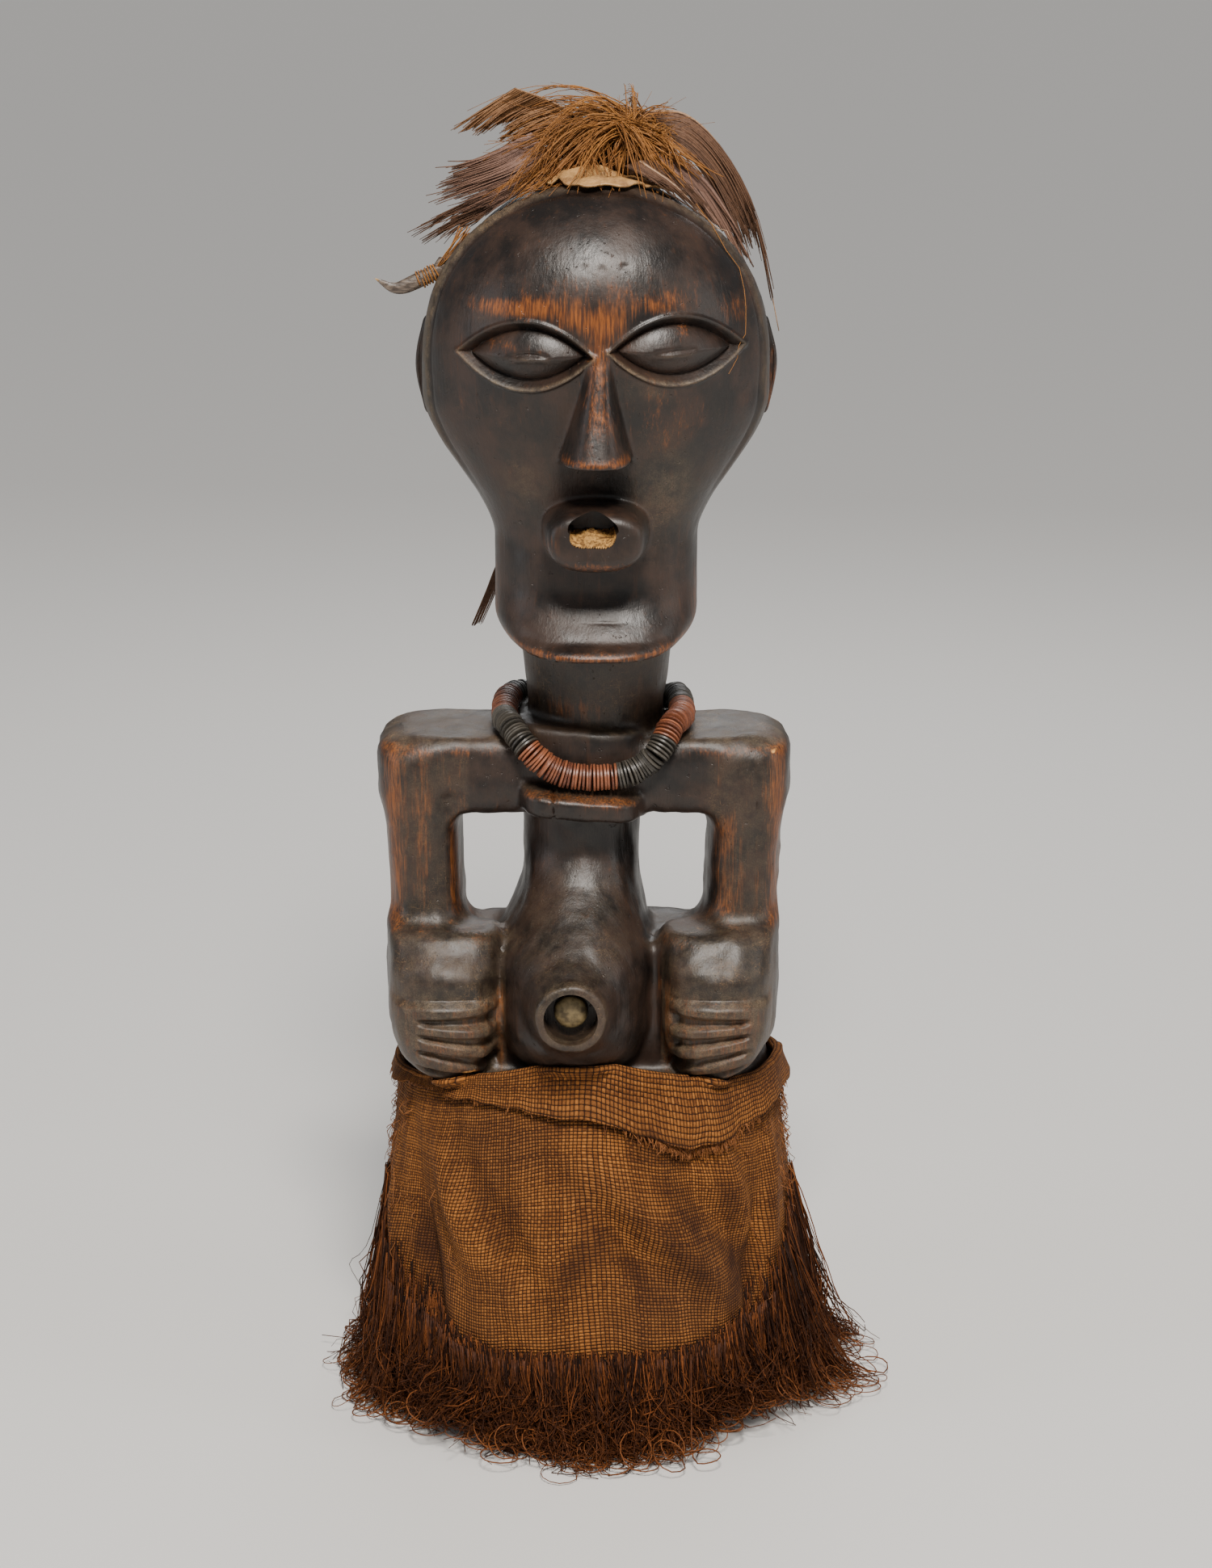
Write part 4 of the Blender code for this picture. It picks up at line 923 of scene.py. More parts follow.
def on_features(p):
    eyes = p.y < -55.0 and 598.0 < p.z < 648.0 and -74.0 < p.x < 90.0
    lips = p.y < -60.0 and 500.0 < p.z < 548.0 and -28.0 < p.x < 38.0
    hands = p.y < -48.0 and 196.0 < p.z < 262.0 and abs(p.x - HANDS_X) > 40.0
    return eyes or lips or hands


def on_eye_edge(p):
    if p.y > -55.0 or abs(p.z - EYE_Z) > 24.0:
        return False
    for side in (-1.0, 1.0):
        inside, along = eye_depth(np.array([p.x]), np.array([p.z]), side)
        if abs(along[0]) < 1.08 and -2.4 < inside[0] < 6.5:
            return True
    return False


def on_body(p):
    belly = p.y < -60.0 and 225.0 < p.z < 285.0
    collar = p.y < -40.0 and 348.0 < p.z < 376.0 and abs(p.x) < 50.0
    hands = p.y < -42.0 and 194.0 < p.z < 266.0
    return belly or collar or hands


def bore(figure, name, half_width, half_height, depth, centre, rough=0.0):
    """Cuts an upright oval hole straight back along Y. A rough hole's floor rises towards its back."""
    sides, rings = 64, 16
    turns = round_turns(sides)
    lower = np.sin(turns) < 0.0
    square = 1.0 + rough * (0.9 * np.cos(4.0 * turns + math.pi) * lower + 0.35 * np.sin(5.0 * turns + 0.7))
    points = []
    for level in np.linspace(-15.0, depth, rings):
        x, z = half_width * square * np.cos(turns), half_height * square * np.sin(turns)
        inward = float(np.clip(level / depth, 0.0, 1.0))
        ring = np.stack([x, np.full(sides, level), z], axis=1)
        if rough:
            lumps = roughen(ring, 3.2, 8.0) + 0.6 * roughen(ring, 1.5, 2.0)
            floor = 0.75 * half_height * inward * -np.sin(turns) + 1.1 * lumps * ramp(inward, 0.02, 0.2)
            ring[:, 2] += lower * floor
            ring[:, 0] *= 1.0 - 0.10 * inward
        points.append(ring)
    points = np.vstack(points + [[(0.0, -15.0, 0.0)], [(0.0, depth, 0.12 * half_height)]]) + centre
    start, end = len(points) - 2, len(points) - 1
    corners = [*tube_quads(rings, sides)]
    corners += in_turn(fan(start, 0, sides, flip=True), fan(end, (rings - 1) * sides, sides))
    bm = bmesh.new()
    verts = [bm.verts.new(point) for point in points]
    faces = [bm.faces.new([verts[k] for k in face]) for face in corners]
    bmesh.ops.recalc_face_normals(bm, faces=faces)
    tool = placed(name, bmesh_to(bpy.data.meshes.new(name), bm))
    cut = figure.modifiers.new(name, "BOOLEAN")
    cut.operation = "DIFFERENCE"
    cut.object = tool
    applied(figure)
    bpy.data.objects.remove(tool, do_unlink=True)


# Soft spots of wear, dust and bare wood: how strong, x, z, half width, half height
FACE_WEAR = (
    (0.80, -47.0, 645.0, 14.0, 4.5), (0.85, -27.0, 645.5, 13.0, 5.5), (0.66, -8.0, 640.0, 12.0, 7.0),
    (0.80, 10.0, 637.0, 12.0, 8.0), (0.55, 36.0, 647.0, 18.0, 6.0), (0.50, 78.0, 640.0, 9.0, 12.0),
    (0.70, 6.0, 618.0, 7.0, 20.0), (0.50, 5.0, 588.0, 9.0, 14.0), (0.50, -24.0, 623.0, 5.0, 4.0),
    (0.60, 50.0, 632.0, 4.0, 5.0), (0.40, -46.0, 625.0, 9.0, 4.0), (0.45, -67.0, 622.0, 4.0, 10.0),
    (0.28, 5.0, 655.0, 60.0, 10.0), (0.30, 40.0, 585.0, 22.0, 22.0), (0.50, -21.0, 519.0, 3.5, 9.0),
)
ELBOW_WEAR = ((0.5, -62.0, 284.0, 12.0, 4.0), (0.5, 52.0, 282.0, 14.0, 4.0))
FACE_DUST = ((0.42, 44.0, 545.0, 16.0, 22.0), (0.25, -34.0, 548.0, 12.0, 16.0), (0.25, 34.0, 602.0, 12.0, 6.0))


def spots(x, z, table):
    return sum(strength * blob(x, z, *place) for strength, *place in table)


def worn_at(x, y, z):
    """Where the wood is worn to orange."""
    front = ramp(-y, 30.0, 55.0)
    aside, apart = np.abs(x - HEAD_X), np.abs(x - HANDS_X)
    worn = spots(x, z, FACE_WEAR) * front
    worn += 0.7 * bump(z, 566.0, 2.4) * (np.abs(x - 5.0) < 22.0) * (y < -92.0)
    # The beard, the lips, the neck and the collar
    worn += 0.75 * bump(z, chin_rim(x, 455.5, 11.0), 2.2) * ramp(-y, 40.0, 60.0) * (z < 500.0)
    worn += 0.6 * bump(aside, 56.0, 3.5) * ramp(z, 520.0, 480.0) * (z > 452.0) * ramp(-y, 20.0, 45.0)
    worn += 0.6 * blob(x, z, 5.0, 508.5, 22.0, 2.6) * (y < -88.0)
    worn += 0.5 * blob(x, z, -10.0, 412.0, 22.0, 8.0) * (y < -20.0)
    worn += 0.62 * bump(z, 366.0 - 0.085 * x, 3.0) * (np.abs(x + 4.0) < 38.0) * ramp(-y, 46.0, 54.0)
    # The arms, inside and out, and the shoulders
    arm = ramp(z, 276.0, 292.0) * ramp(z, 396.0, 384.0) * ramp(-y, -25.0, 5.0)
    worn += arm * (0.66 * bump(x, -110.0, 6.0) + 0.30 * bump(x, -93.0, 4.0) + 0.62 * bump(x, 106.0, 5.0))
    worn += arm * 0.14 * (np.abs(x) > 66.0)
    inner = ramp(z, 284.0, 300.0) * ramp(z, 358.0, 345.0) * ramp(-y, 0.0, 25.0)
    worn += inner * (0.36 * bump(x, -76.0, 4.0) + 0.54 * bump(x, 78.0, 6.0))
    worn += spots(x, z, ELBOW_WEAR)
    worn += 0.4 * bump(z, 390.0, 3.0) * (np.abs(x) > 50.0) * (y < -20.0)
    # The fingers, the sides of the hands and the left ear
    worn += 0.32 * ramp(z, 262.0, 250.0) * ramp(z, 196.0, 206.0) * (apart > 46.0) * front
    worn += 0.42 * bump(apart, 46.0, 4.0) * ramp(z, 268.0, 255.0) * ramp(z, 200.0, 212.0) * front
    worn += 0.5 * blob(x, z, HEAD_X + 97.0, 588.0, 12.0, 26.0) * ramp(x, 90.0, 97.0)
    return worn


def dust_and_highlight_at(x, y, z, facing, upward):
    """Where the wood is dusty, also from how far it faces forward and upward; it also holds a painted highlight on
    the lower lips of the eyes and a painted sheen on the fronts of the arms.
    """
    front = ramp(-y, 30.0, 55.0)
    apart = np.abs(x - HANDS_X)
    dust_and_highlight = spots(x, z, FACE_DUST) * front
    # Dust on the lip round each eye, with a painted highlight: strong on the lower half and at the corners, faint on
    # the upper half
    for side in (-1.0, 1.0):
        inside, along = eye_depth(x, z, side)
        lower = ramp(z, 624.0, 612.0) + 0.7 * bump(np.abs(along), 1.0, 0.22)
        lip = 0.85 * bump(inside, -0.3, 0.95) * (np.abs(along) < 1.1)
        dust_and_highlight += lip * np.clip(0.10 + lower, 0.0, 1.0) * front * (z > 590.0) * (z < 650.0)
        slit = bump(z, 619.0 + side * 0.8, 1.0) * bump(x, EYE_MIDDLE_X + side * 38.0, 8.0)
        dust_and_highlight += 0.35 * slit * front
    # The band beside the face
    behind = y - band_line(z)
    band = ramp(behind, 1.0, 4.0) * ramp(behind, 20.0, 12.0) * ramp(z, 530.0, 590.0)
    band *= (0.75 + 0.25 * ramp(z, 610.0, 650.0)) * (0.35 + 0.65 * ramp(z, 704.0, 694.0))
    dust_and_highlight += (0.9 - 0.45 * (x > 0.0)) * band
    # The navel's rim, the hands and the arms, with a painted sheen where the arms face forward
    away = np.hypot(x - NAVEL_X, z - NAVEL_Z)
    dust_and_highlight += 0.42 * ramp(away, 21.5, 19.5) * (y < -100.0)
    dust_and_highlight += 0.30 * ramp(z, 262.0, 252.0) * ramp(z, 194.0, 200.0) * (apart > 44.0) * front
    dust_and_highlight += 0.26 * ramp(z, 285.0, 268.0) * ramp(z, 192.0, 204.0) * (apart > 44.0) * front
    # Painted sheen on the forward-facing fronts of the arms
    dust_and_highlight += 0.20 * ramp(facing, 0.5, 0.9) * (z > 285.0) * (z < 388.0) * (np.abs(x) > 66.0)
    dust_and_highlight += 0.25 * bump(z, 283.0, 4.0) * (y < -40.0) * (np.abs(x) > 40.0)
    # What lies on top of the shoulders, the crown, the neck and the legs
    dust_and_highlight += 0.45 * ramp(upward, 0.5, 0.9) * (z > 380.0) * (z < 400.0)
    dust_and_highlight += 0.14 * ramp(z, 700.0, 706.0) + 0.22 * (z > 398.0) * (z < 452.0) + 0.25 * (z < 112.0)
    dust_and_highlight += 0.20 * ramp(upward, 0.2, 0.8) * (z < 395.0)
    return dust_and_highlight


def bare_at(x, y, z):
    """Where the wood is chipped and uncoloured."""
    raw = 0.85 * bump(x, 35.3, 1.6) * ramp(z, 224.0, 230.0) * ramp(z, 268.0, 260.0) * (y < -55.0)
    raw += 1.0 * blob(x, z, -66.5, 207.5, 6.5, 3.4) * (y < -40.0)
    raw += 0.7 * blob(x, z, 104.0, 389.0, 3.0, 2.2) * (y < -10.0)
    raw += 0.62 * blob(x, z, 25.0, 569.0, 1.6, 4.0) * (y < -100.0)
    return raw


def carved_figure():
    bm = bmesh.new()
    for mass in MASSES:
        mass.add_block(bm)
    figure = placed("figure_wood", bmesh_to(bpy.data.meshes.new("figure_block"), bm))
    fuse = figure.modifiers.new("Fuse", "REMESH")
    fuse.mode = "VOXEL"
    fuse.voxel_size = VOXEL_SIZE
    applied(figure)
    mesh = figure.data
    put_points(mesh, onto_figure(points_of(mesh), steps=5, distance_of=smooth_distance))

    bm = bmesh.new()
    bm.from_mesh(mesh)
    refine(bm, lambda p: on_face(p) or on_body(p))
    refine(bm, on_features)
    refine(bm, on_eye_edge)
    bmesh_to(mesh, bm)
    points = onto_figure(points_of(mesh), steps=4, distance_of=smooth_distance)
    _, normal = gap_and_normal(points, smooth_distance)
    points += normal * relief(points)[:, None]
    # The marks of the adze, stronger below the head
    below = ramp(points[:, 2], 452.0, 400.0)
    dents = (0.28 + 0.60 * below) * roughen(points, 15.0, 3.0) + 0.5 * below * (roughen(points, 8.5, 12.0) ** 2)
    dents += (0.06 + 0.34 * below) * roughen(points * (1.0, 1.0, 0.5), 6.5, 9.0)
    points += normal * dents[:, None]
    points[:, 2] = np.where(points[:, 2] < 0.35, 0.0, points[:, 2])
    put_points(mesh, points)
    thin = figure.modifiers.new("Thin out", "DECIMATE")
    thin.ratio = FIGURE_TRIANGLES / sum(len(face.vertices) - 2 for face in mesh.polygons)
    applied(figure)

    navel = (NAVEL_X, NAVEL_Y, NAVEL_Z)
    seat = PLUG_RADIUS + 0.3
    bore(figure, "mouth", 13.5, 9.8, 22.0, (HEAD_X - 1.5, MOUTH_Y, MOUTH_Z + 5.0), rough=0.07)
    bore(figure, "navel", NAVEL_RADIUS, NAVEL_RADIUS, NAVEL_DEPTH, navel)
    bore(figure, "seat", seat, seat, NAVEL_DEPTH + PLUG_SEAT, navel)
    figure.modifiers.new("Triangles", "TRIANGULATE")
    applied(figure)
    mesh = figure.data
    mesh.transform(Matrix.Translation((SHIFT, 0.0, 0.0)) @ Matrix.Scale(MM, 4))
    mesh.update()

    points = (points_of(mesh) - (SHIFT, 0.0, 0.0)) / MM
    normals = np.empty(len(mesh.vertices) * 3)
    mesh.vertex_normals.foreach_get("vector", normals)
    _, facing, upward = normals.reshape(-1, 3).T
    wear_and_painted_light = (worn_at(*points.T), dust_and_highlight_at(*points.T, -facing, upward), bare_at(*points.T))
    paint(mesh, "wear_and_painted_light", *np.clip(wear_and_painted_light, 0.0, 1.0))
    mesh.materials.clear()
    mesh.materials.append(wood_finish())
    mesh.materials.append(raw_wood_finish())
    mesh.shade_smooth()
    # The broken wood on the floor of the mouth
    for face in mesh.polygons:
        x, y, z = (face.center - Vector((SHIFT, 0.0, 0.0))) / MM
        hole = abs(x - HEAD_X + 1.5) < 14.9 and abs(z - MOUTH_Z - 5.0) < 11.5 and y > MOUTH_Y + 0.8
        if hole and y < -70.0 and z < MOUTH_Z + 2.8 + 0.8 * math.sin(x) and face.normal.z > -0.3:
            face.material_index = 1
    mesh.set_sharp_from_angle(angle=math.radians(50.0))
    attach(figure, "root")
    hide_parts("carved_figure")


def navel_plug():
    """The plug, a little worn and uneven, in its seat."""
    steps, sides = 14, 40
    base, top = -11.6, 3.0
    profile = [(PLUG_RADIUS * 0.96, base), (PLUG_RADIUS, -11.0), (PLUG_RADIUS, -4.0), (PLUG_RADIUS, -1.2)]
    for step in range(1, steps):
        bend = step / steps * math.pi / 2
        profile.append((PLUG_RADIUS * math.cos(bend) ** 0.8, top * math.sin(bend)))
    points = [(0.0, 0.0, base)]
    for radius, height in profile:
        points += [(radius * math.cos(t), radius * math.sin(t), height) for t in round_turns(sides)]
    points.append((0.0, 0.0, top))
    local = np.array(points)
    local[:, 2] += 0.25 * roughen(local, 5.0, 5.0) * (local[:, 2] > -2.0)
    front = NAVEL_Y + NAVEL_DEPTH + PLUG_SEAT - 0.3 - 11.7
    world = np.stack([NAVEL_X + local[:, 0], front - local[:, 2], NAVEL_Z + local[:, 1]], axis=1)
    last = 1 + (len(profile) - 1) * sides
    ends = fan(0, 1, sides, flip=True) + fan(len(world) - 1, last, sides)
    mesh = numpy_mesh("plug", world, tube_quads(len(profile), sides, 1), ends)
    piece(mesh, plug_finish(), "plug_wood", "navel_plug")


def necklace_path():
    """A closed loop for the string, lying on the shoulders and hanging over the chest."""
    points = []
    for turn in round_turns(240):
        sine, cosine = math.sin(turn), math.cos(turn)
        x = 49.0 * math.copysign(abs(sine) ** (2 / 3.0), sine)
        y = -53.0 * math.copysign(abs(cosine) ** (2 / 3.0), cosine)
        droop = 26.0 * max(0.0, 1.0 - (abs(x) / 43.0) ** 3) if y < 0.0 else 0.0
        points.append((HEAD_X + x, y, SHOULDER_TOP_Z + BEAD_RADIUS - droop))
    loop = np.array(points)
    clear = 1.04 * BEAD_RADIUS + 0.9

    def eased(loop):
        return (np.roll(loop, 1, 0) + 2.0 * loop + np.roll(loop, -1, 0)) / 4.0

    for _ in range(4):
        loop = onto_figure(loop, offset=clear, steps=2)
        for _ in range(6):
            loop = eased(loop)
    for _ in range(6):
        loop = eased(push_out(loop, clear, steps=2))
    return push_out(loop, clear, steps=2)


def along_loop(loop, shares):
    closed = np.vstack([loop, loop[:1]])
    length = np.concatenate([[0.0], np.cumsum(np.linalg.norm(np.diff(closed, axis=0), axis=1))])
    wanted = np.mod(shares, 1.0) * length[-1]
    return np.stack([np.interp(wanted, length, closed[:, axis]) for axis in range(3)], axis=1), length[-1]


def necklace():
    """Discs of coconut shell threaded close together, in runs of red and black."""
    loop = necklace_path()
    _, length = along_loop(loop, np.array([0.0]))
    red = bead_finish("red_disc", (0.060, 0.016, 0.008), (0.235, 0.078, 0.034))
    black = bead_finish("black_disc", (0.010, 0.009, 0.0075), (0.055, 0.048, 0.038))
    sides = 22
    start = FRONT_RUN_START
    for run, share in enumerate(BEAD_RUN_SHARES):
        count = int(share * length / BEAD_PITCH)
        shares = start + share * (np.arange(count) + 0.5) / count
        start += share
        centres, _ = along_loop(loop, shares)
        ahead, _ = along_loop(loop, shares + 0.002)
        behind, _ = along_loop(loop, shares - 0.002)
        verts, quads, ends, tones = [], [], [], []
        for centre, axis in zip(centres, ahead - behind):
            axis = axis / np.linalg.norm(axis) + RANDOM.normal(size=3) * 0.035
            axis /= np.linalg.norm(axis)
            side = np.cross(axis, (0.0, 0.0, 1.0))
            side /= np.linalg.norm(side)
            up = np.cross(side, axis)
            radius = BEAD_RADIUS * min(0.98 + 0.025 * RANDOM.normal(), 1.03)
            half = BEAD_PITCH * (0.40 + 0.08 * RANDOM.random())
            centre = centre + 0.12 * RANDOM.normal(size=3)
            tone = RANDOM.random()
            base = len(verts)
            for reach, level in ((0.86, -1.0), (1.0, -0.62), (1.0, 0.62), (0.86, 1.0)):
                for turn in round_turns(sides):
                    out = math.cos(turn) * side + math.sin(turn) * up
                    verts.append(centre + out * radius * reach + axis * half * level)
            quads.append(tube_quads(4, sides, base))
            ends += fan(len(verts), base, sides, flip=True)
            ends += fan(len(verts) + 1, base + 3 * sides, sides)
            verts += [centre - axis * half, centre + axis * half]
            tones += [tone] * (len(verts) - base)
        mesh = numpy_mesh(f"beads_{run + 1}", verts, np.vstack(quads), ends)
        paint(mesh, "fibre", tones, 0.0)
        finish, slot = (black, "black_bead") if run % 2 else (red, "red_bead")
        piece(mesh, finish, slot, f"necklace_run_{run + 1}")
        mesh.set_sharp_from_angle(angle=math.radians(38.0))


def vane(
    name, node, rows, finish, count, width, ragged=0.12, clumps=8, gap=1.2, flat=0.18, quill=None,
    looks=(0.0, -1.0, 0.35), wild=1.0,
):
    """Barbs of a feather that run side by side through each of the rows, from the first to the last."""
    rows = np.array(rows, float)
    steps, samples = 12, 48
    t = np.linspace(0.0, 1.0, steps)
    centres = np.linspace(0.0, 1.0, clumps)
    paths, radii, tones = [], [], []
    lift = RANDOM.normal(size=clumps) * 0.9
    tone_of = RANDOM.random(clumps)
    short = 1.0 - ragged * RANDOM.random(clumps) * 1.6
    for i in range(count):
        share = (i + 0.5 + 0.5 * RANDOM.normal()) / count
        share = min(max(share, 0.0), 1.0)
        clump = int(np.argmin(np.abs(centres - share)))
        drawn = share + (centres[clump] - share) * 0.35 * wild
        controls = []
        for level, row in enumerate(rows):
            use = share + (drawn - share) * (level / (len(rows) - 1)) ** 2
            at = use * (len(row) - 1)
            k = min(int(at), len(row) - 2)
            controls.append(row[k] + (row[k + 1] - row[k]) * (at - k))
        fine = curve_through(controls, samples)
        end = short[clump] * (1.0 - ragged * RANDOM.random() ** 1.5)
        wanted = np.linspace(0.0, end * (samples - 1), steps)
        low = np.minimum(wanted.astype(int), samples - 2)
        path = fine[low] + (fine[low + 1] - fine[low]) * (wanted - low)[:, None]
        stray = RANDOM.normal(size=3) * (0.5 + 1.4 * (RANDOM.random() < 0.12))
        path += np.outer(t**3, stray * 2.0 * wild)
        path[:, 1] += lift[clump] * t * wild
        paths.append(path)
        radii.append(width * (0.85 + 0.3 * RANDOM.random()) * (1.0 - 0.72 * t**2.2))
        tones.append(0.65 * tone_of[clump] + 0.35 * RANDOM.random())
    paths = push_out(paths, gap, steps=4)
    facing = np.array(looks, float) + RANDOM.normal(size=(count, 3)) * 0.18
    piece(fibre_mesh(name, paths, np.array(radii), tones, facing, flat=flat), finish, "feather", node)
    if quill:
        spine = push_out(curve_through(quill, 30), gap + 0.8, steps=4)[None]
        shaft = fibre_mesh(name + "_quill", spine, np.linspace(0.85, 0.3, 30)[None], [0.8])
        piece(shaft, FINISHES["quill"], "feather")


def headdress():
    brown, mauve, dark = FINISHES["barbs"], FINISHES["mauve"], FINISHES["dark_barbs"]
    top = (
        ((-2, 1, 733), (-20, 0, 744), (-39, -3, 751)),
        ((-24, -2, 727), (-40, -3, 736), (-55, -5, 741)),
        ((-42, -5, 720), (-58, -6, 722), (-76, -8, 727)),
    )
    vane("vane_top", "feather_top", top, brown, 150, 0.78, 0.22, 9, quill=top[0])
    left = (
        ((-30, -14, 728), (-19, -20, 717), (-8, -28, 706)),
        ((-56, -16, 716), (-42, -22, 704), (-28, -36, 697)),
        ((-84, -14, 707), (-100, -10, 681), (-62, -28, 678)),
    )
    vane("vane_left", "feather_left", left, mauve, 230, 0.80, 0.20, 11)
    low = (
        ((-40, -16, 704), (-42, -22, 694), (-34, -30, 690)),
        ((-76, -11, 686), (-70, -15, 682), (-62, -20, 680)),
        ((-108, -6, 669), (-99, -8, 664), (-88, -12, 661)),
    )
    vane("vane_low_left", "feather_low_left", low, dark, 90, 0.62, 0.35, 9)
    right = (
        ((30, 14, 737), (36, 8, 731), (42, 2, 724)),
        ((54, 15, 735), (55, 10, 726), (54, 2, 716)),
        ((76, 15, 713), (73, 11, 707), (66, 2, 702)),
        ((93, 15, 677), (88, 12, 676), (78, 1, 680)),
        ((106, 13, 617), (99, 12, 634), (88, -2, 655)),
    )
    outer = [row[0] for row in right]
    vane("vane_right", "feather_right", right, dark, 170, 0.95, 0.14, 7, quill=outer, looks=(0.5, -1.0, 0.5))
    strips = (
        ((30, -18, 724), (36, -24, 717), (42, -28, 712)),
        ((58, -19, 709), (56, -26, 702), (54, -32, 699)),
        ((76, -18, 686), (70, -26, 682), (64, -34, 682)),
        ((93, -16, 653), (84, -22, 655), (72, -32, 662)),
    )
    vane(
        "vane_front_right", "feather_front_right", strips, mauve, 26, 1.9, 0.25, 7, gap=1.6, flat=0.12,
        looks=(0.4, -1.0, 0.6),
    )
    brow = (
        ((20, -44, 714), (28, -40, 716), (36, -34, 716)),
        ((38, -50, 704), (46, -46, 704), (54, -38, 703)),
        ((56, -50, 688), (62, -44, 687), (70, -34, 686)),
        ((66, -48, 673), (72, -42, 672), (84, -30, 664)),
    )
    shaft = [row[1] for row in brow]
    vane("vane_brow", "feather_brow", brow, dark, 70, 0.42, 0.4, 10, quill=shaft, looks=(0.4, -1.0, 0.6))
    # The middle of the hanging strip from top to bottom, and its half width
    course = ((-66, 49, 606, 3.0), (-54, 49, 552, 3.4), (-44, 44, 500, 3.4))
    course += ((-53, 42.5, 470, 3.2), (-65, 41.5, 441, 3.2))
    strip = [((x - half, y, z), (x + half, y, z + 0.4 * half)) for x, y, z, half in course]
    vane("strip_fibres", "hanging_strip", strip, dark, 20, 0.62, 0.012, 4, gap=0.8, flat=0.5, wild=0.0)


def tuft():
    """The bundle of fibre on the crown: locks of it sweep to both sides and over the brow."""
    knot = np.array([21.0, -10.0, 726.0])
    groups = (
        # The middle of the tips, their spread, and how many locks
        ((-40.0, -44.0, 699.0), (7.0, 5.0, 4.0), 11),
        ((-27.0, -52.0, 698.0), (6.0, 4.0, 4.0), 10),
        ((-46.0, -18.0, 718.0), (9.0, 8.0, 5.0), 9),
        ((-10.0, -60.0, 703.0), (5.0, 3.0, 3.0), 2),
        ((21.0, -60.0, 702.0), (6.0, 3.0, 3.0), 4),
        ((48.0, -44.0, 702.0), (7.0, 5.0, 4.0), 10),
        ((63.0, -26.0, 708.0), (6.0, 6.0, 4.0), 7),
        ((-22.0, 4.0, 742.0), (14.0, 8.0, 4.0), 6),
        ((34.0, 6.0, 739.0), (14.0, 8.0, 3.0), 4),
        ((6.0, -28.0, 712.0), (16.0, 8.0, 3.0), 12),
        ((10.0, 12.0, 712.0), (22.0, 10.0, 4.0), 12),
        ((-30.0, -30.0, 712.0), (9.0, 8.0, 4.0), 6),
        ((-16.0, 44.0, 712.0), (16.0, 8.0, 5.0), 8),
        ((34.0, 42.0, 714.0), (14.0, 8.0, 5.0), 7),
    )
    paths, radii, tones = [], [], []
    t = np.linspace(0.0, 1.0, 12)
    for tip, spread, locks in groups:
        for _ in range(locks):
            root = knot + RANDOM.normal(size=3) * (7.0, 4.0, 1.8)
            end = np.array(tip) + RANDOM.normal(size=3) * spread
            rise = 2.0 + 6.0 * RANDOM.random() + 0.08 * np.linalg.norm(end - root)
            swing = RANDOM.normal(size=3) * 4.4
            tone = RANDOM.random()
            for _ in range(RANDOM.integers(5, 14)):
                tail = root + (end - root) * RANDOM.uniform(0.62, 1.05) + RANDOM.normal(size=3) * 1.9
                start = root - (end - root) * RANDOM.uniform(0.0, 0.18) + RANDOM.normal(size=3) * 1.1
                path = start + np.outer(t, tail - start)
                path[:, 2] += rise * np.sin(math.pi * t) * RANDOM.uniform(0.7, 1.15)
                path += np.outer(np.sin(math.pi * t), swing)
                wave = RANDOM.normal(size=3) * 1.7
                path += np.outer(np.sin(t * RANDOM.uniform(3.0, 9.0) + RANDOM.uniform(0.0, 6.0)) * t, wave)
                paths.append(path)
                radii.append((0.26 + 0.42 * RANDOM.random() ** 2.5) * (1.0 - 0.5 * t**2))
                tones.append(0.6 * tone + 0.4 * RANDOM.random())
    # Loose wisps, mostly upward
    for _ in range(64):
        start = knot + RANDOM.normal(size=3) * (10.0, 5.0, 2.0)
        end = start + np.array([RANDOM.normal() * 24.0 - 10.0, RANDOM.normal() * 10.0, RANDOM.uniform(6.0, 24.0)])
        path = start + np.outer(t, end - start) + np.outer(np.sin(t * 3.0), RANDOM.normal(size=3) * 3.0)
        paths.append(path)
        radii.append(0.22 * (1.0 - 0.5 * t))
        tones.append(0.4 * RANDOM.random() ** 2)
    # One long fibre that curls down over the right eye
    curl = ((58, -46, 694), (73, -52, 659), (80, -62, 637), (81, -70, 619), (75, -84, 609))
    paths.append(curve_through(curl, 12))
    radii.append(0.3 * (1.0 - 0.4 * t))
    tones.append(0.6)
    paths = push_out(paths, 1.0, steps=4)
    paths[:, :, 2] = np.minimum(paths[:, :, 2], HEADDRESS_TOP)
    mesh = fibre_mesh("tuft_fibres", paths, np.array(radii), tones)
    piece(mesh, FINISHES["tuft"], "tuft_fibre", "raffia_tuft")
    tuft_felt(knot)

    # The knot in the middle, bound round with the same fibre
    steps = 26
    t = np.linspace(0.0, 1.0, steps)
    coils, tone = [], []
    for _ in range(70):
        lean, roll = RANDOM.uniform(-0.5, 0.5), RANDOM.uniform(0.0, ANY_PHASE)
        turn = roll + t * RANDOM.uniform(3.0, 7.0)
        radius = 4.0 + 1.8 * RANDOM.random()
        place = knot + RANDOM.normal(size=3) * (6.0, 2.0, 0.8)
        offset = np.stack([4.0 * lean * t, radius * 1.2 * np.cos(turn), radius * 0.9 * np.sin(turn)], axis=1)
        coils.append(place + offset + (0.0, 0.0, -1.0))
        tone.append(RANDOM.random())
    coils = push_out(coils, 0.8, steps=3)
    thick = np.full(coils.shape[:2], 0.42)
    piece(fibre_mesh("tuft_knot", coils, thick, tone), FINISHES["tuft"], "tuft_fibre")


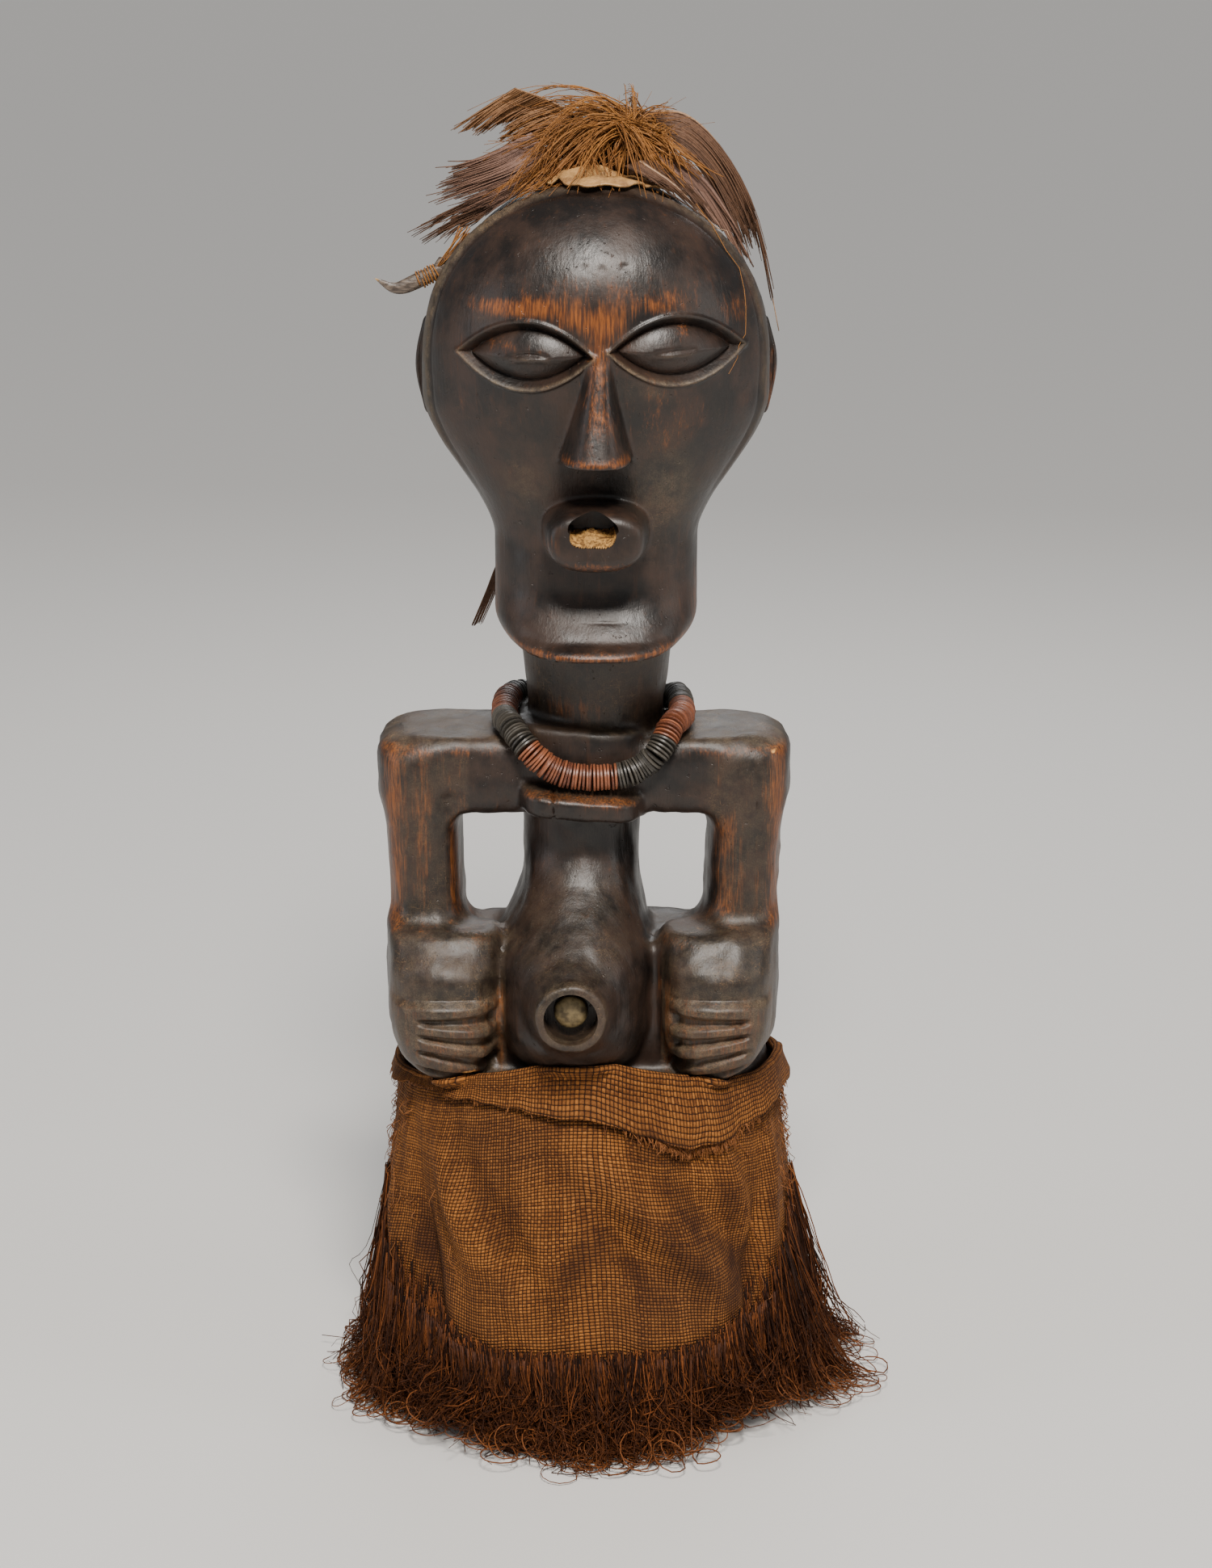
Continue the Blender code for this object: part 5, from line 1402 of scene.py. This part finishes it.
def tuft_felt(knot):
    """Crushed fibre under the knot, down to the crown."""
    rings, sectors = 16, 44
    shell = [knot + (0.0, 0.0, 3.0)]
    for lean in np.arange(1, rings) * math.pi / rings:
        for turn in round_turns(sectors):
            flat = np.array([24.0 * math.cos(turn), 15.0 * math.sin(turn)]) * math.sin(lean) ** 0.8
            shell.append((13.0 + flat[0], -3.0 + flat[1], 715.0 + 11.0 * math.cos(lean) - 0.16 * abs(flat[0])))
    shell.append((13.0, -3.0, 704.0))
    shell = np.array(shell, float)
    shell += (shell - (13.0, -3.0, 712.0)) * 0.16 * roughen(shell * (1.0, 1.0, 2.0), 7.0, 7.0)[:, None]
    shell = push_out(shell, 2.6, steps=4)
    last = 1 + (rings - 2) * sectors
    ends = in_turn(fan(0, 1, sectors), fan(len(shell) - 1, last, sectors, flip=True))
    mesh = numpy_mesh("tuft_felt", shell, tube_quads(rings - 1, sectors, 1, flip=True), ends)
    piece(mesh, FINISHES["felt"], "tuft_fibre")


def hide():
    """A stiff scrap of hide on the crown, wrinkled, with a curled edge and a small hole."""
    rings, sectors = 20, 96
    turns = round_turns(sectors)
    edge = 1.0 + 0.10 * np.sin(3.0 * turns + 0.6) + 0.035 * np.sin(9.0 * turns) + 0.02 * np.sin(17.0 * turns)
    points = []
    for ring in range(rings + 1):
        reach = ring / rings * edge
        x, y = 9.5 + 39.0 * reach * np.cos(turns), -25.0 + 32.0 * reach * np.sin(turns)
        points.append(np.stack([x, y, np.full(sectors, CROWN_Z)], axis=1))
    points = push_out(drop_onto(np.vstack(points)), 1.0, steps=3)
    # It buckles up behind its front edge, which curls a little
    buckle = bump(points[:, 1], -37.0 + 3.0 * np.sin(points[:, 0] * 0.11), 8.0) * bump(points[:, 0], 0.0, 19.0)
    points[:, 2] += 9.0 * buckle + 1.4 * ramp(-points[:, 1], 48.0, 57.0)
    points[:, 2] += 1.8 * (roughen(points, 9.0, 2.0) + 0.6) + 0.7 * roughen(points, 3.5, 4.0)
    quads = tube_quads(rings, sectors, sectors, flip=True)
    middles = points[quads].mean(axis=1)
    quads = quads[np.hypot(middles[:, 0] - 3.6, middles[:, 1] + 48.0) > 1.5]
    points[0] = points[sectors : 2 * sectors].mean(axis=0)
    centre = [(a, b, middle) for middle, a, b in fan(0, sectors, sectors)]
    mesh = numpy_mesh("hide_scrap", points, quads, centre)
    obj = piece(mesh, hide_finish(), "hide", "hide_patch")
    bm = bmesh.new()
    bm.from_mesh(mesh)
    bmesh.ops.delete(bm, geom=[v for v in bm.verts if not v.link_faces], context="VERTS")
    bmesh.ops.recalc_face_normals(bm, faces=bm.faces)
    if bm.faces[:][0].normal.z < 0.0:
        bmesh.ops.reverse_faces(bm, faces=bm.faces)
    bmesh_to(mesh, bm)
    thickened(obj, HIDE_THICKNESS, 1.0)


def claw():
    """A dark claw bound to the headdress, its tip turned up."""
    steps, sides = 30, 18
    hook = curve_through(((-74, -21, 659), (-92, -23, 650), (-104, -24, 646), (-115, -24, 651)), steps)
    share = np.linspace(0.0, 1.0, steps)
    width = 4.4 * (1.0 - share**2.4) ** 0.8 * (0.7 + 0.3 * np.sin(share * 3.0)) + 0.25
    hook = push_out(hook, width + 0.8, steps=3)
    tangent = np.gradient(hook, axis=0)
    tangent /= np.linalg.norm(tangent, axis=1)[:, None]
    side = np.cross(tangent, (0.0, 1.0, 0.0))
    side /= np.linalg.norm(side, axis=1)[:, None]
    depth = np.cross(side, tangent)
    verts = []
    for i in range(steps):
        for turn in round_turns(sides):
            verts.append(hook[i] + width[i] * (math.cos(turn) * side[i] + 0.55 * math.sin(turn) * depth[i]))
    verts += [hook[0] - tangent[0] * 1.5, hook[-1] + tangent[-1] * 0.8]
    ends = fan(len(verts) - 2, 0, sides, flip=True) + fan(len(verts) - 1, (steps - 1) * sides, sides)
    mesh = numpy_mesh("claw_hook", verts, tube_quads(steps, sides), ends)
    paint(mesh, "fibre", 0.5, np.concatenate([np.repeat(share, sides), [0.0, 1.0]]))
    piece(mesh, claw_finish(), "claw", "claw")
    # The binding that holds it
    t = np.linspace(0.0, 1.0, 24)
    wraps = []
    for i in range(16):
        at = 4 + (i % 6)
        turn = t * 6.6 + i
        radius = width[at] + 0.4 + 0.2 * (i % 3)
        ring = hook[at] + radius * (np.outer(np.cos(turn), side[at]) + 0.62 * np.outer(np.sin(turn), depth[at]))
        wraps.append(ring + np.outer(t - 0.5, tangent[at]) * 2.4)
    for i in range(12):
        end = hook[5] + np.array([14.0 + 10.0 * RANDOM.random(), -1.0, 14.0 + 12.0 * RANDOM.random()])
        line = hook[5] + np.outer(t, end - hook[5]) + np.outer(np.sin(t * 3.0), RANDOM.normal(size=3) * 1.5)
        wraps.append(line)
    wraps = push_out(wraps, 0.8, steps=3)
    tones = RANDOM.random(len(wraps))
    binding = fibre_mesh("claw_binding", wraps, np.full(wraps.shape[:2], 0.42), tones)
    piece(binding, FINISHES["tuft"], "tuft_fibre")


def cloth_outline(turns, height):
    """The cloth's outer surface at each turn round the hips, before its own folds."""
    share = np.clip((WAIST_HEIGHT - height) / (WAIST_HEIGHT - HEM_HEIGHT), 0.0, 1.0)
    half_width = 109.0 + (HEM_HALF_WIDTH - 109.0) * share**0.8
    waist_depth = np.where(np.sin(turns) < 0.0, 74.0, 58.0)
    half_depth = waist_depth + (HEM_HALF_DEPTH - waist_depth) * share**0.75
    folds = 2.2 * np.sin(9.0 * turns + 1.5 * np.sin(2.0 * turns)) * ramp(share, 0.06, 0.6)
    cosine, sine = np.cos(turns), np.sin(turns)
    x = (half_width + folds) * np.sign(cosine) * np.abs(cosine) ** (2.0 / 2.35)
    y = (half_depth + folds) * np.sign(sine) * np.abs(sine) ** (2.0 / 2.35)
    return x, y


def moved_out(x, y, out):
    """The points, moved straight away from the middle of the cloth."""
    share = 1.0 + out / np.hypot(x, y)
    return x * share, y * share


def beside_cloth(turns, height, gap):
    """Points that lie gap outside the cloth's folds."""
    return moved_out(*cloth_outline(turns, height), gap + cloth_folds(turns, height))


def directions(x, y):
    """Unit vectors along x and y, and square to them."""
    outward = np.stack([x, y], axis=1)
    outward /= np.maximum(np.linalg.norm(outward, axis=1), 1e-6)[:, None]
    return outward, np.stack([-outward[:, 1], outward[:, 0]], axis=1)


def waist_line(turns):
    degrees = np.degrees(turns)
    belly = 5.5 * bump(degrees, 268.0, 13.0) + 15.0 * bump(degrees, 268.0, 42.0)
    return WAIST_HEIGHT + belly + 6.0 * bump(degrees, 352.0, 20.0)


def tucked(points):
    """Draws the cloth's top in until it lies against the wood, or out over the belly."""
    centre = np.array([0.0, -10.0])
    ray = points[:, :, :2] - centre
    reach = np.linalg.norm(ray, axis=2)
    ray = ray / reach[:, :, None]
    far = reach + 24.0
    for _ in range(14):
        trial = np.concatenate([centre + ray * far[:, :, None], points[:, :, 2:]], axis=2)
        gap = figure_distance(trial.reshape(-1, 3)).reshape(far.shape)
        far = np.maximum(far - 0.8 * np.maximum(gap - 3.2, 0.0), reach - 24.0)
    height = points[:, :, 2]
    share = ramp(height, 178.0, WAIST_HEIGHT + 2.0)
    moved = (far - reach) * share
    steady = sum(np.roll(moved, shift, axis=1) for shift in range(-4, 5)) / 9.0
    moved = np.maximum(steady, moved * (moved > 0.0))
    near = reach + moved
    return np.concatenate([centre + ray * near[:, :, None], points[:, :, 2:]], axis=2)


def flap_line(turns):
    """The lower edge of the folded waist: high at the left, and lowest right of the middle."""
    at = np.radians((0.0, 170.0, 215.0, 245.0, 270.0, 296.0, 312.0, 335.0, 360.0))
    level = (184.0, 183.0, 195.0, 192.0, 187.0, 168.0, 173.0, 183.0, 184.0)
    shifts = np.linspace(-0.09, 0.09, 7)
    smooth = sum(np.interp(turns + shift, at, level, period=FULL_TURN) for shift in shifts) / len(shifts)
    return smooth + 0.5 * np.sin(23.0 * turns) + 0.35 * np.sin(47.0 * turns + 1.0)


def cloth_folds(turns, height):
    """How far the cloth's own folds stand out: soft diagonals across the front, creases at the sides."""
    degrees = np.degrees(turns)
    out = np.zeros(np.broadcast(turns, height).shape)
    for centre, level, slope, width, reach, size in (
        (236.0, 132.0, 0.9, 8.0, 36.0, 8.0),
        (262.0, 108.0, -0.7, 10.0, 38.0, 5.0),
        (249.0, 122.0, 1.0, 5.0, 32.0, -4.5),
        (291.0, 118.0, 1.2, 8.0, 36.0, 9.0),
        (277.0, 122.0, 1.1, 5.5, 32.0, -5.0),
        (305.0, 128.0, 1.0, 4.5, 30.0, -4.0),
        (313.0, 140.0, 0.6, 6.0, 26.0, 4.6),
        (222.0, 95.0, 0.5, 4.5, 34.0, -4.4),
        (322.0, 100.0, -0.4, 4.0, 34.0, -4.6),
        (330.0, 120.0, -0.3, 5.0, 40.0, 3.6),
        (300.0, 166.0, 0.9, 6.0, 13.0, -4.5),
        (286.0, 172.0, 0.6, 5.0, 10.0, 3.0),
        (203.0, 110.0, 0.4, 6.0, 40.0, 3.4),
        (120.0, 110.0, 0.5, 9.0, 40.0, 4.4),
        (80.0, 105.0, -0.6, 8.0, 40.0, 4.2),
        (45.0, 115.0, 0.4, 7.0, 40.0, 3.6),
    ):
        line = degrees - centre + slope * (height - level) * 0.35
        out = out + 1.35 * size * bump(line, 0.0, width) * bump(height, level, reach)
    return out


def skirt_cloth():
    """One woven sheet: up from the hem, folded over at the waist and down outside itself."""
    around, up, over, down = 380, 62, 5, 14
    turns = round_turns(around)
    waist = waist_line(turns)
    hem = HEM_HEIGHT + 1.6 * np.sin(7.0 * turns) + 1.0 * np.sin(17.0 * turns + 2.0)

    def below_waist(height):
        return ramp(height, 198.0, 170.0)

    def low_folds(height):
        return cloth_folds(turns, height) * below_waist(height)

    def row_at(height, out):
        return np.stack([*moved_out(*cloth_outline(turns, height), out), height], axis=1)

    rows = []
    for share in np.linspace(0.0, 1.0, up):
        height = hem + (waist - 1.5 - hem) * share
        ripple = 0.5 * np.sin(31.0 * turns + height * 0.1)
        rows.append(row_at(height, low_folds(height) + ripple * below_waist(height) - 0.4))
    inner = np.stack(rows)
    snug = tucked(inner)
    shift = (snug - inner)[:, :, :2]
    rows = list(snug)
    for step in range(1, over + 1):
        bend = math.pi * step / over
        x, y, height = snug[-1].T
        x, y = moved_out(x, y, 1.7 * (1.0 - math.cos(bend)))
        rows.append(np.stack([x, y, height + 1.5 * math.sin(bend)], axis=1))
    for share in np.linspace(0.0, 1.0, down + 1)[1:]:
        height = waist - 1.5 - (waist - flap_line(turns) - 1.5) * share
        sag = 3.4 * share * (0.55 + 0.45 * np.sin(11.0 * turns + 1.0))
        sag = sag + 4.0 * share * bump(np.degrees(turns), 294.0, 18.0)
        row = row_at(height, low_folds(height) + 3.2 + sag - 0.4)
        for i in range(around):
            row[i, :2] += [np.interp(height[i], inner[:, i, 2], shift[:, i, axis]) for axis in (0, 1)]
        rows.append(row)
    grid = np.stack(rows)
    points = push_out(grid.reshape(-1, 3), 2.0, steps=3)
    mesh = numpy_mesh("skirt_sheet", points, tube_quads(len(rows), around))
    # Painted shade in the folds: darker where they are deep and on their lee side
    lie = np.arctan2(grid[:, :, 1], grid[:, :, 0]) % FULL_TURN
    deep = cloth_folds(lie, grid[:, :, 2])
    beside = cloth_folds(lie + 0.09, grid[:, :, 2] - 6.0)
    paint(mesh, "wear_and_painted_light", (ramp(deep, 1.0, -4.5) + 0.8 * ramp(deep - beside, 0.8, 4.0)).ravel())
    # The weave's own coordinates: metres round the cloth and metres up it
    lengths = np.linalg.norm(np.diff(grid, axis=0), axis=2).mean(axis=1) * MM
    v = np.concatenate([[0.0], np.cumsum(lengths)])
    corner = np.empty(len(mesh.loops), np.int32)
    mesh.loops.foreach_get("vertex_index", corner)
    column, row = corner % around, corner // around
    seam = np.ptp(column.reshape(-1, 4), axis=1) > around // 2
    wrap = np.repeat(seam, 4) & (column < around // 2)
    u = (column + around * wrap) / around * WEAVE_ROUND
    lean = 0.05 * np.sin(u * 13.0) * v[row]
    layer = mesh.uv_layers.new(name="weave")
    layer.data.foreach_set("uv", np.stack([u + lean, v[row]], axis=1).ravel())
    return thickened(piece(mesh, FINISHES["weave"], "raffia_cloth", "skirt_cloth"), CLOTH_THICKNESS, -1.0)


def fringe_edge(turns):
    """How much of the full spread the fringe reaches at each turn, and how high its ends hang."""
    degrees = np.degrees(np.mod(turns, 2.0 * math.pi))
    hollow = bump(degrees, 311.0, 21.0) + 0.8 * bump(degrees, 236.0, 15.0) + 0.35 * bump(degrees, 80.0, 30.0)
    ragged = 0.07 * (0.5 + 0.5 * np.sin(17.0 * turns + 1.0)) + 0.05 * (0.5 + 0.5 * np.sin(41.0 * turns))
    return 1.0 - 0.17 * hollow - ragged, 13.0 * hollow


def hanging_fibres(name, low, high, count):
    """Part of the fringe: fibres that leave the hem, fall and curl out over the ground."""
    t = np.linspace(0.0, 1.0, 13)[None, :]
    turn = RANDOM.uniform(math.radians(low), math.radians(high), count)
    side_rise = RANDOM.uniform(14.0, 68.0, count) * np.abs(np.cos(turn)) ** 3
    top = HEM_HEIGHT + 5.0 + side_rise + RANDOM.uniform(-5.0, 5.0, count)
    x0, y0 = beside_cloth(turn, top, 1.2 + 1.6 * RANDOM.random(count))
    # Fibres lean together in clumps
    clumps = 997
    clump_of = np.floor(turn / 0.055).astype(int) % clumps
    lean_of, reach_of = RANDOM.normal(size=clumps) * 0.075, RANDOM.random(clumps)
    land = turn + lean_of[clump_of] + RANDOM.normal(size=count) * 0.05
    reach = 1.0 - (0.30 * reach_of[clump_of] + 0.55 * RANDOM.random(count) ** 0.9)
    edge, lift = fringe_edge(land)
    x1 = FRINGE_X + FRINGE_HALF_WIDTH * edge * np.cos(land)
    y1 = FRINGE_HALF_DEPTH * edge * (1.0 + 0.05 * bump(np.degrees(land), 272.0, 16.0)) * np.sin(land)
    run_x, run_y = (x1 - x0) * reach, (y1 - y0) * reach
    bow = t ** RANDOM.uniform(0.75, 1.35, (count, 1))
    x, y = x0[:, None] + run_x[:, None] * bow, y0[:, None] + run_y[:, None] * bow
    pile = (0.6 + 18.0 * RANDOM.random(count) ** 2.0 * (1.2 - reach) + lift)[:, None]
    z = pile + (top[:, None] - pile) * (1.0 - t) ** RANDOM.uniform(1.1, 2.3, count)[:, None]
    outward, sideways = directions(run_x, run_y)
    loose = ramp(t, 0.0, 0.7)
    for size, cycles in ((9.5, 1.5), (4.6, 3.6), (1.6, 7.5)):
        phase = RANDOM.uniform(0.0, ANY_PHASE, (count, 1))
        wave = size * RANDOM.normal(size=(count, 1)) * loose
        wave = wave * np.sin(phase + cycles * RANDOM.uniform(0.7, 1.5, (count, 1)) * t * 3.14)
        x += wave * sideways[:, :1]
        y += wave * sideways[:, 1:]
        z += 0.5 * size * RANDOM.normal(size=(count, 1)) * loose * np.sin(phase * 1.7 + cycles * 3.0 * t)
    # Over half of them end in a loop
    looped = (RANDOM.random(count) < 0.58)[:, None]
    spin = RANDOM.uniform(2.6, 6.6, (count, 1)) * np.where(RANDOM.random((count, 1)) < 0.5, -1.0, 1.0)
    angle = spin * np.clip((t - 0.4) / 0.6, 0.0, 1.0)
    radius = RANDOM.uniform(4.0, 13.0, (count, 1)) * looped
    back, aside = radius * (np.cos(angle) - 1.0), radius * np.sin(angle)
    x += back * outward[:, :1] + aside * sideways[:, :1]
    y += back * outward[:, 1:] + aside * sideways[:, 1:]
    z += np.abs(aside) * RANDOM.uniform(0.0, 0.8, (count, 1))
    z = np.clip(z, 0.45, top[:, None] + 3.0)
    paths = np.stack([np.clip(x, -164.0, 185.0), np.clip(y, -167.0, 165.0), z], axis=-1)
    radii = RANDOM.uniform(0.24, 0.46, (count, 1)) * (1.0 - 0.35 * t**2)
    mesh = fibre_mesh(name, paths, radii, RANDOM.random(count) ** 2.4)
    return piece(mesh, FINISHES["fringe"], "raffia_fibre")


def loose_loops():
    """The thicker fibres at the fringe's edge, each curled in a wide loop on the ground."""
    count = 420
    t = np.linspace(0.0, 1.0, 22)[None, :]
    turn = RANDOM.uniform(0.0, ANY_PHASE, count)
    top = HEM_HEIGHT + 4.0 + 34.0 * np.abs(np.cos(turn)) ** 3
    x0, y0 = beside_cloth(turn, top, 3.0)
    land = turn + RANDOM.normal(size=count) * 0.05
    share = RANDOM.uniform(0.45, 0.90, count)
    edge, lift = fringe_edge(land)
    run_x = (FRINGE_X + FRINGE_HALF_WIDTH * edge * np.cos(land) - x0) * share
    run_y = (FRINGE_HALF_DEPTH * edge * np.sin(land) - y0) * share
    fall = np.clip(t / 0.42, 0.0, 1.0)
    x, y = x0[:, None] + run_x[:, None] * fall**1.2, y0[:, None] + run_y[:, None] * fall**1.2
    foot = 1.0 + lift[:, None]
    z = foot + (top[:, None] - foot) * (1.0 - fall) ** RANDOM.uniform(1.2, 2.0, (count, 1))
    outward, sideways = directions(run_x, run_y)
    spin = RANDOM.uniform(3.6, 7.4, (count, 1)) * np.where(RANDOM.random((count, 1)) < 0.5, -1.0, 1.0)
    angle = spin * np.clip((t - 0.34) / 0.66, 0.0, 1.0)
    radius = RANDOM.uniform(5.5, 14.0, (count, 1)) * (1.0 - 0.3 * t)
    ahead, aside = radius * np.sin(np.abs(angle)), radius * (1.0 - np.cos(angle)) * np.sign(spin)
    x = x + ahead * outward[:, :1] + aside * sideways[:, :1]
    y = y + ahead * outward[:, 1:] + aside * sideways[:, 1:]
    lean = RANDOM.uniform(0.0, 1.1, (count, 1)) * (RANDOM.random((count, 1)) < 0.6)
    z = z + lean * np.maximum(radius - ahead, 0.0) * ramp(t, 0.34, 0.6)
    z = z + RANDOM.uniform(0.2, 5.0, (count, 1)) * ramp(t, 0.3, 0.6)
    paths = np.stack([np.clip(x, -166.0, 186.0), np.clip(y, -168.0, 166.0), np.clip(z, 0.6, 90.0)], axis=-1)
    radii = RANDOM.uniform(0.36, 0.58, (count, 1)) * (1.0 - 0.4 * t**2)
    mesh = fibre_mesh("fringe_loops", paths, radii, 0.35 + 0.65 * RANDOM.random(count))
    return piece(mesh, FINISHES["loops"], "raffia_fibre")


def matting():
    """The matted fibre under the fringe, which fills its gaps."""
    sides, rings = 220, 12
    turns = round_turns(sides)
    top = HEM_HEIGHT + 4.0 + 28.0 * np.abs(np.cos(turns)) ** 3
    edge, lift = fringe_edge(turns)
    floor_x = 0.5 * FRINGE_X + 0.80 * edge * FRINGE_HALF_WIDTH * np.cos(turns)
    floor_y = 0.80 * edge * FRINGE_HALF_DEPTH * np.sin(turns)
    top_x, top_y = beside_cloth(turns, top, 0.8)
    rows = []
    for share in np.linspace(0.0, 1.0, rings):
        x, y = top_x + (floor_x - top_x) * share**0.9, top_y + (floor_y - top_y) * share**0.9
        rows.append(np.stack([x, y, top * (1.0 - share) ** 1.5 + 0.5 + lift * share], axis=1))
    inner_x, inner_y = 0.80 * top_x, 0.80 * top_y
    for share in (1.0, 0.5, 0.0):
        x, y = inner_x + (floor_x * 0.97 - inner_x) * share, inner_y + (floor_y * 0.97 - inner_y) * share
        rows.append(np.stack([x, y, 0.3 + lift], axis=1))
    x, y = cloth_outline(turns, np.full(sides, HEM_HEIGHT))
    rows.append(np.stack([x * 0.985, y * 0.985, np.full(sides, HEM_HEIGHT - 3.0)], axis=1))
    grid = np.stack(rows)
    lumps = roughen(grid.reshape(-1, 3), 7.0, 6.0).reshape(grid.shape[:2])
    raised = grid[1 : rings - 1, :, 2] + 2.6 * lumps[1 : rings - 1]
    grid[1 : rings - 1, :, 2] = np.maximum(raised, 0.6)
    # Its section is closed, so the last row joins the first
    count = len(rows) * sides
    quads = tube_quads(len(rows) + 1, sides, flip=True) % count
    mesh = numpy_mesh("fringe_matting", grid.reshape(-1, 3), quads)
    piece(mesh, FINISHES["matting"], "raffia_fibre", "skirt_fringe")


def fringe():
    quarters = (("fringe_front", 225.0, 315.0, 1560), ("fringe_right", 315.0, 405.0, 1200))
    quarters += (("fringe_back", 45.0, 135.0, 950), ("fringe_left", 135.0, 225.0, 1200))
    made = [hanging_fibres(*quarter) for quarter in quarters]
    matting()
    return made + [loose_loops()]


def short_threads(name, turn, start, out, aside, fall, radii):
    """Threads that leave the cloth; the rest says how far out, aside and down they go, and how thick."""
    x, y = cloth_outline(turn, start)
    outward, sideways = directions(x, y)
    out = out + cloth_folds(turn, start)[:, None]
    x = x[:, None] + outward[:, :1] * out + sideways[:, :1] * aside
    y = y[:, None] + outward[:, 1:] * out + sideways[:, 1:] * aside
    paths = np.stack([x, y, start[:, None] - fall], axis=-1)
    return piece(fibre_mesh(name, paths, radii, RANDOM.random(len(turn))), FINISHES["fray"], "raffia_fibre")


def frayed_edges():
    """Short threads along the folded waist's edge, and strays at the sides of the cloth."""
    count = 620
    each = (count, 1)
    t = np.linspace(0.0, 1.0, 7)[None, :]
    front = RANDOM.random(count) < 0.55
    turn = np.where(front, RANDOM.normal(math.radians(297.0), 0.15, count), RANDOM.uniform(0.0, ANY_PHASE, count))
    start = flap_line(np.mod(turn, FULL_TURN)) + 0.8
    length = np.where(front, RANDOM.uniform(3.0, 9.0, count), RANDOM.uniform(1.0, 4.0, count))[:, None]
    aside = length * t * RANDOM.normal(size=each) * 0.35
    out = 4.4 + t * length * RANDOM.uniform(0.05, 0.55, each) + 0.9 * front[:, None]
    fall = length * t * 0.9 - RANDOM.normal(size=each) * t**2 * 1.2
    radii = RANDOM.uniform(0.26, 0.46, each) * (1.0 - 0.4 * t)
    flap = short_threads("flap_fray", turn, start, out, aside, fall, radii)

    count = 420
    each = (count, 1)
    side = np.where(RANDOM.random(count) < 0.6, 0.0, math.pi)
    turn = side + RANDOM.normal(size=count) * 0.34
    start = RANDOM.uniform(70.0, 200.0, count)
    length = RANDOM.uniform(6.0, 24.0, each)
    aside = length * t * RANDOM.normal(size=each) * 0.4
    out = 0.4 + 0.2 * length * np.sin(t * RANDOM.uniform(1.0, 5.0, each)) ** 2
    fall = length * t * RANDOM.uniform(0.3, 1.0, each)
    radii = RANDOM.uniform(0.22, 0.38, each) * (1.0 - 0.4 * t)
    return [flap, short_threads("cloth_strays", turn, start, out, aside, fall, radii)]


# Each kind of fibre: its material's name, then its dark, light and tip colours
FIBRES = {
    "barbs": ("brown_barbs", (0.070, 0.030, 0.012), (0.30, 0.150, 0.062), (0.17, 0.075, 0.028)),
    "dark_barbs": ("dark_barbs", (0.030, 0.014, 0.008), (0.165, 0.085, 0.048), (0.11, 0.052, 0.026)),
    "mauve": ("mauve_barbs", (0.085, 0.045, 0.034), (0.29, 0.175, 0.140), (0.15, 0.075, 0.040)),
    "quill": ("quill", (0.16, 0.085, 0.045), (0.42, 0.27, 0.17), (0.30, 0.18, 0.10), 0.45),
    "tuft": ("tuft_strands", (0.050, 0.016, 0.004), (0.45, 0.200, 0.048), (0.30, 0.120, 0.029)),
    "fringe": (
        "fringe_strands", (0.0075, 0.0023, 0.0011), (0.210, 0.064, 0.0160), (0.080, 0.024, 0.0065), 0.68, 0.15
    ),
    "loops": (
        "fringe_loop_strands", (0.012, 0.0035, 0.0014), (0.085, 0.025, 0.0070), (0.34, 0.112, 0.028), 0.6, 0.25
    ),
    "fray": ("frayed_strands", (0.080, 0.025, 0.008), (0.34, 0.125, 0.032), (0.26, 0.095, 0.026)),
}
FINISHES = {key: fibre_finish(*values) for key, values in FIBRES.items()}
FINISHES["weave"] = cloth_finish()
FINISHES["matting"] = matting_finish(
    "fringe_matting", (0.006, 0.0022, 0.0012), (0.042, 0.014, 0.0055), (520.0, 520.0, 90.0)
)
FINISHES["felt"] = matting_finish("tuft_felt", (0.020, 0.008, 0.003), (0.17, 0.070, 0.018), (120.0, 700.0, 700.0))

camera_and_light()
carved_figure()
navel_plug()
necklace()
hide()
headdress()
tuft()
claw()
cloth = skirt_cloth()
trim = fringe() + frayed_edges()
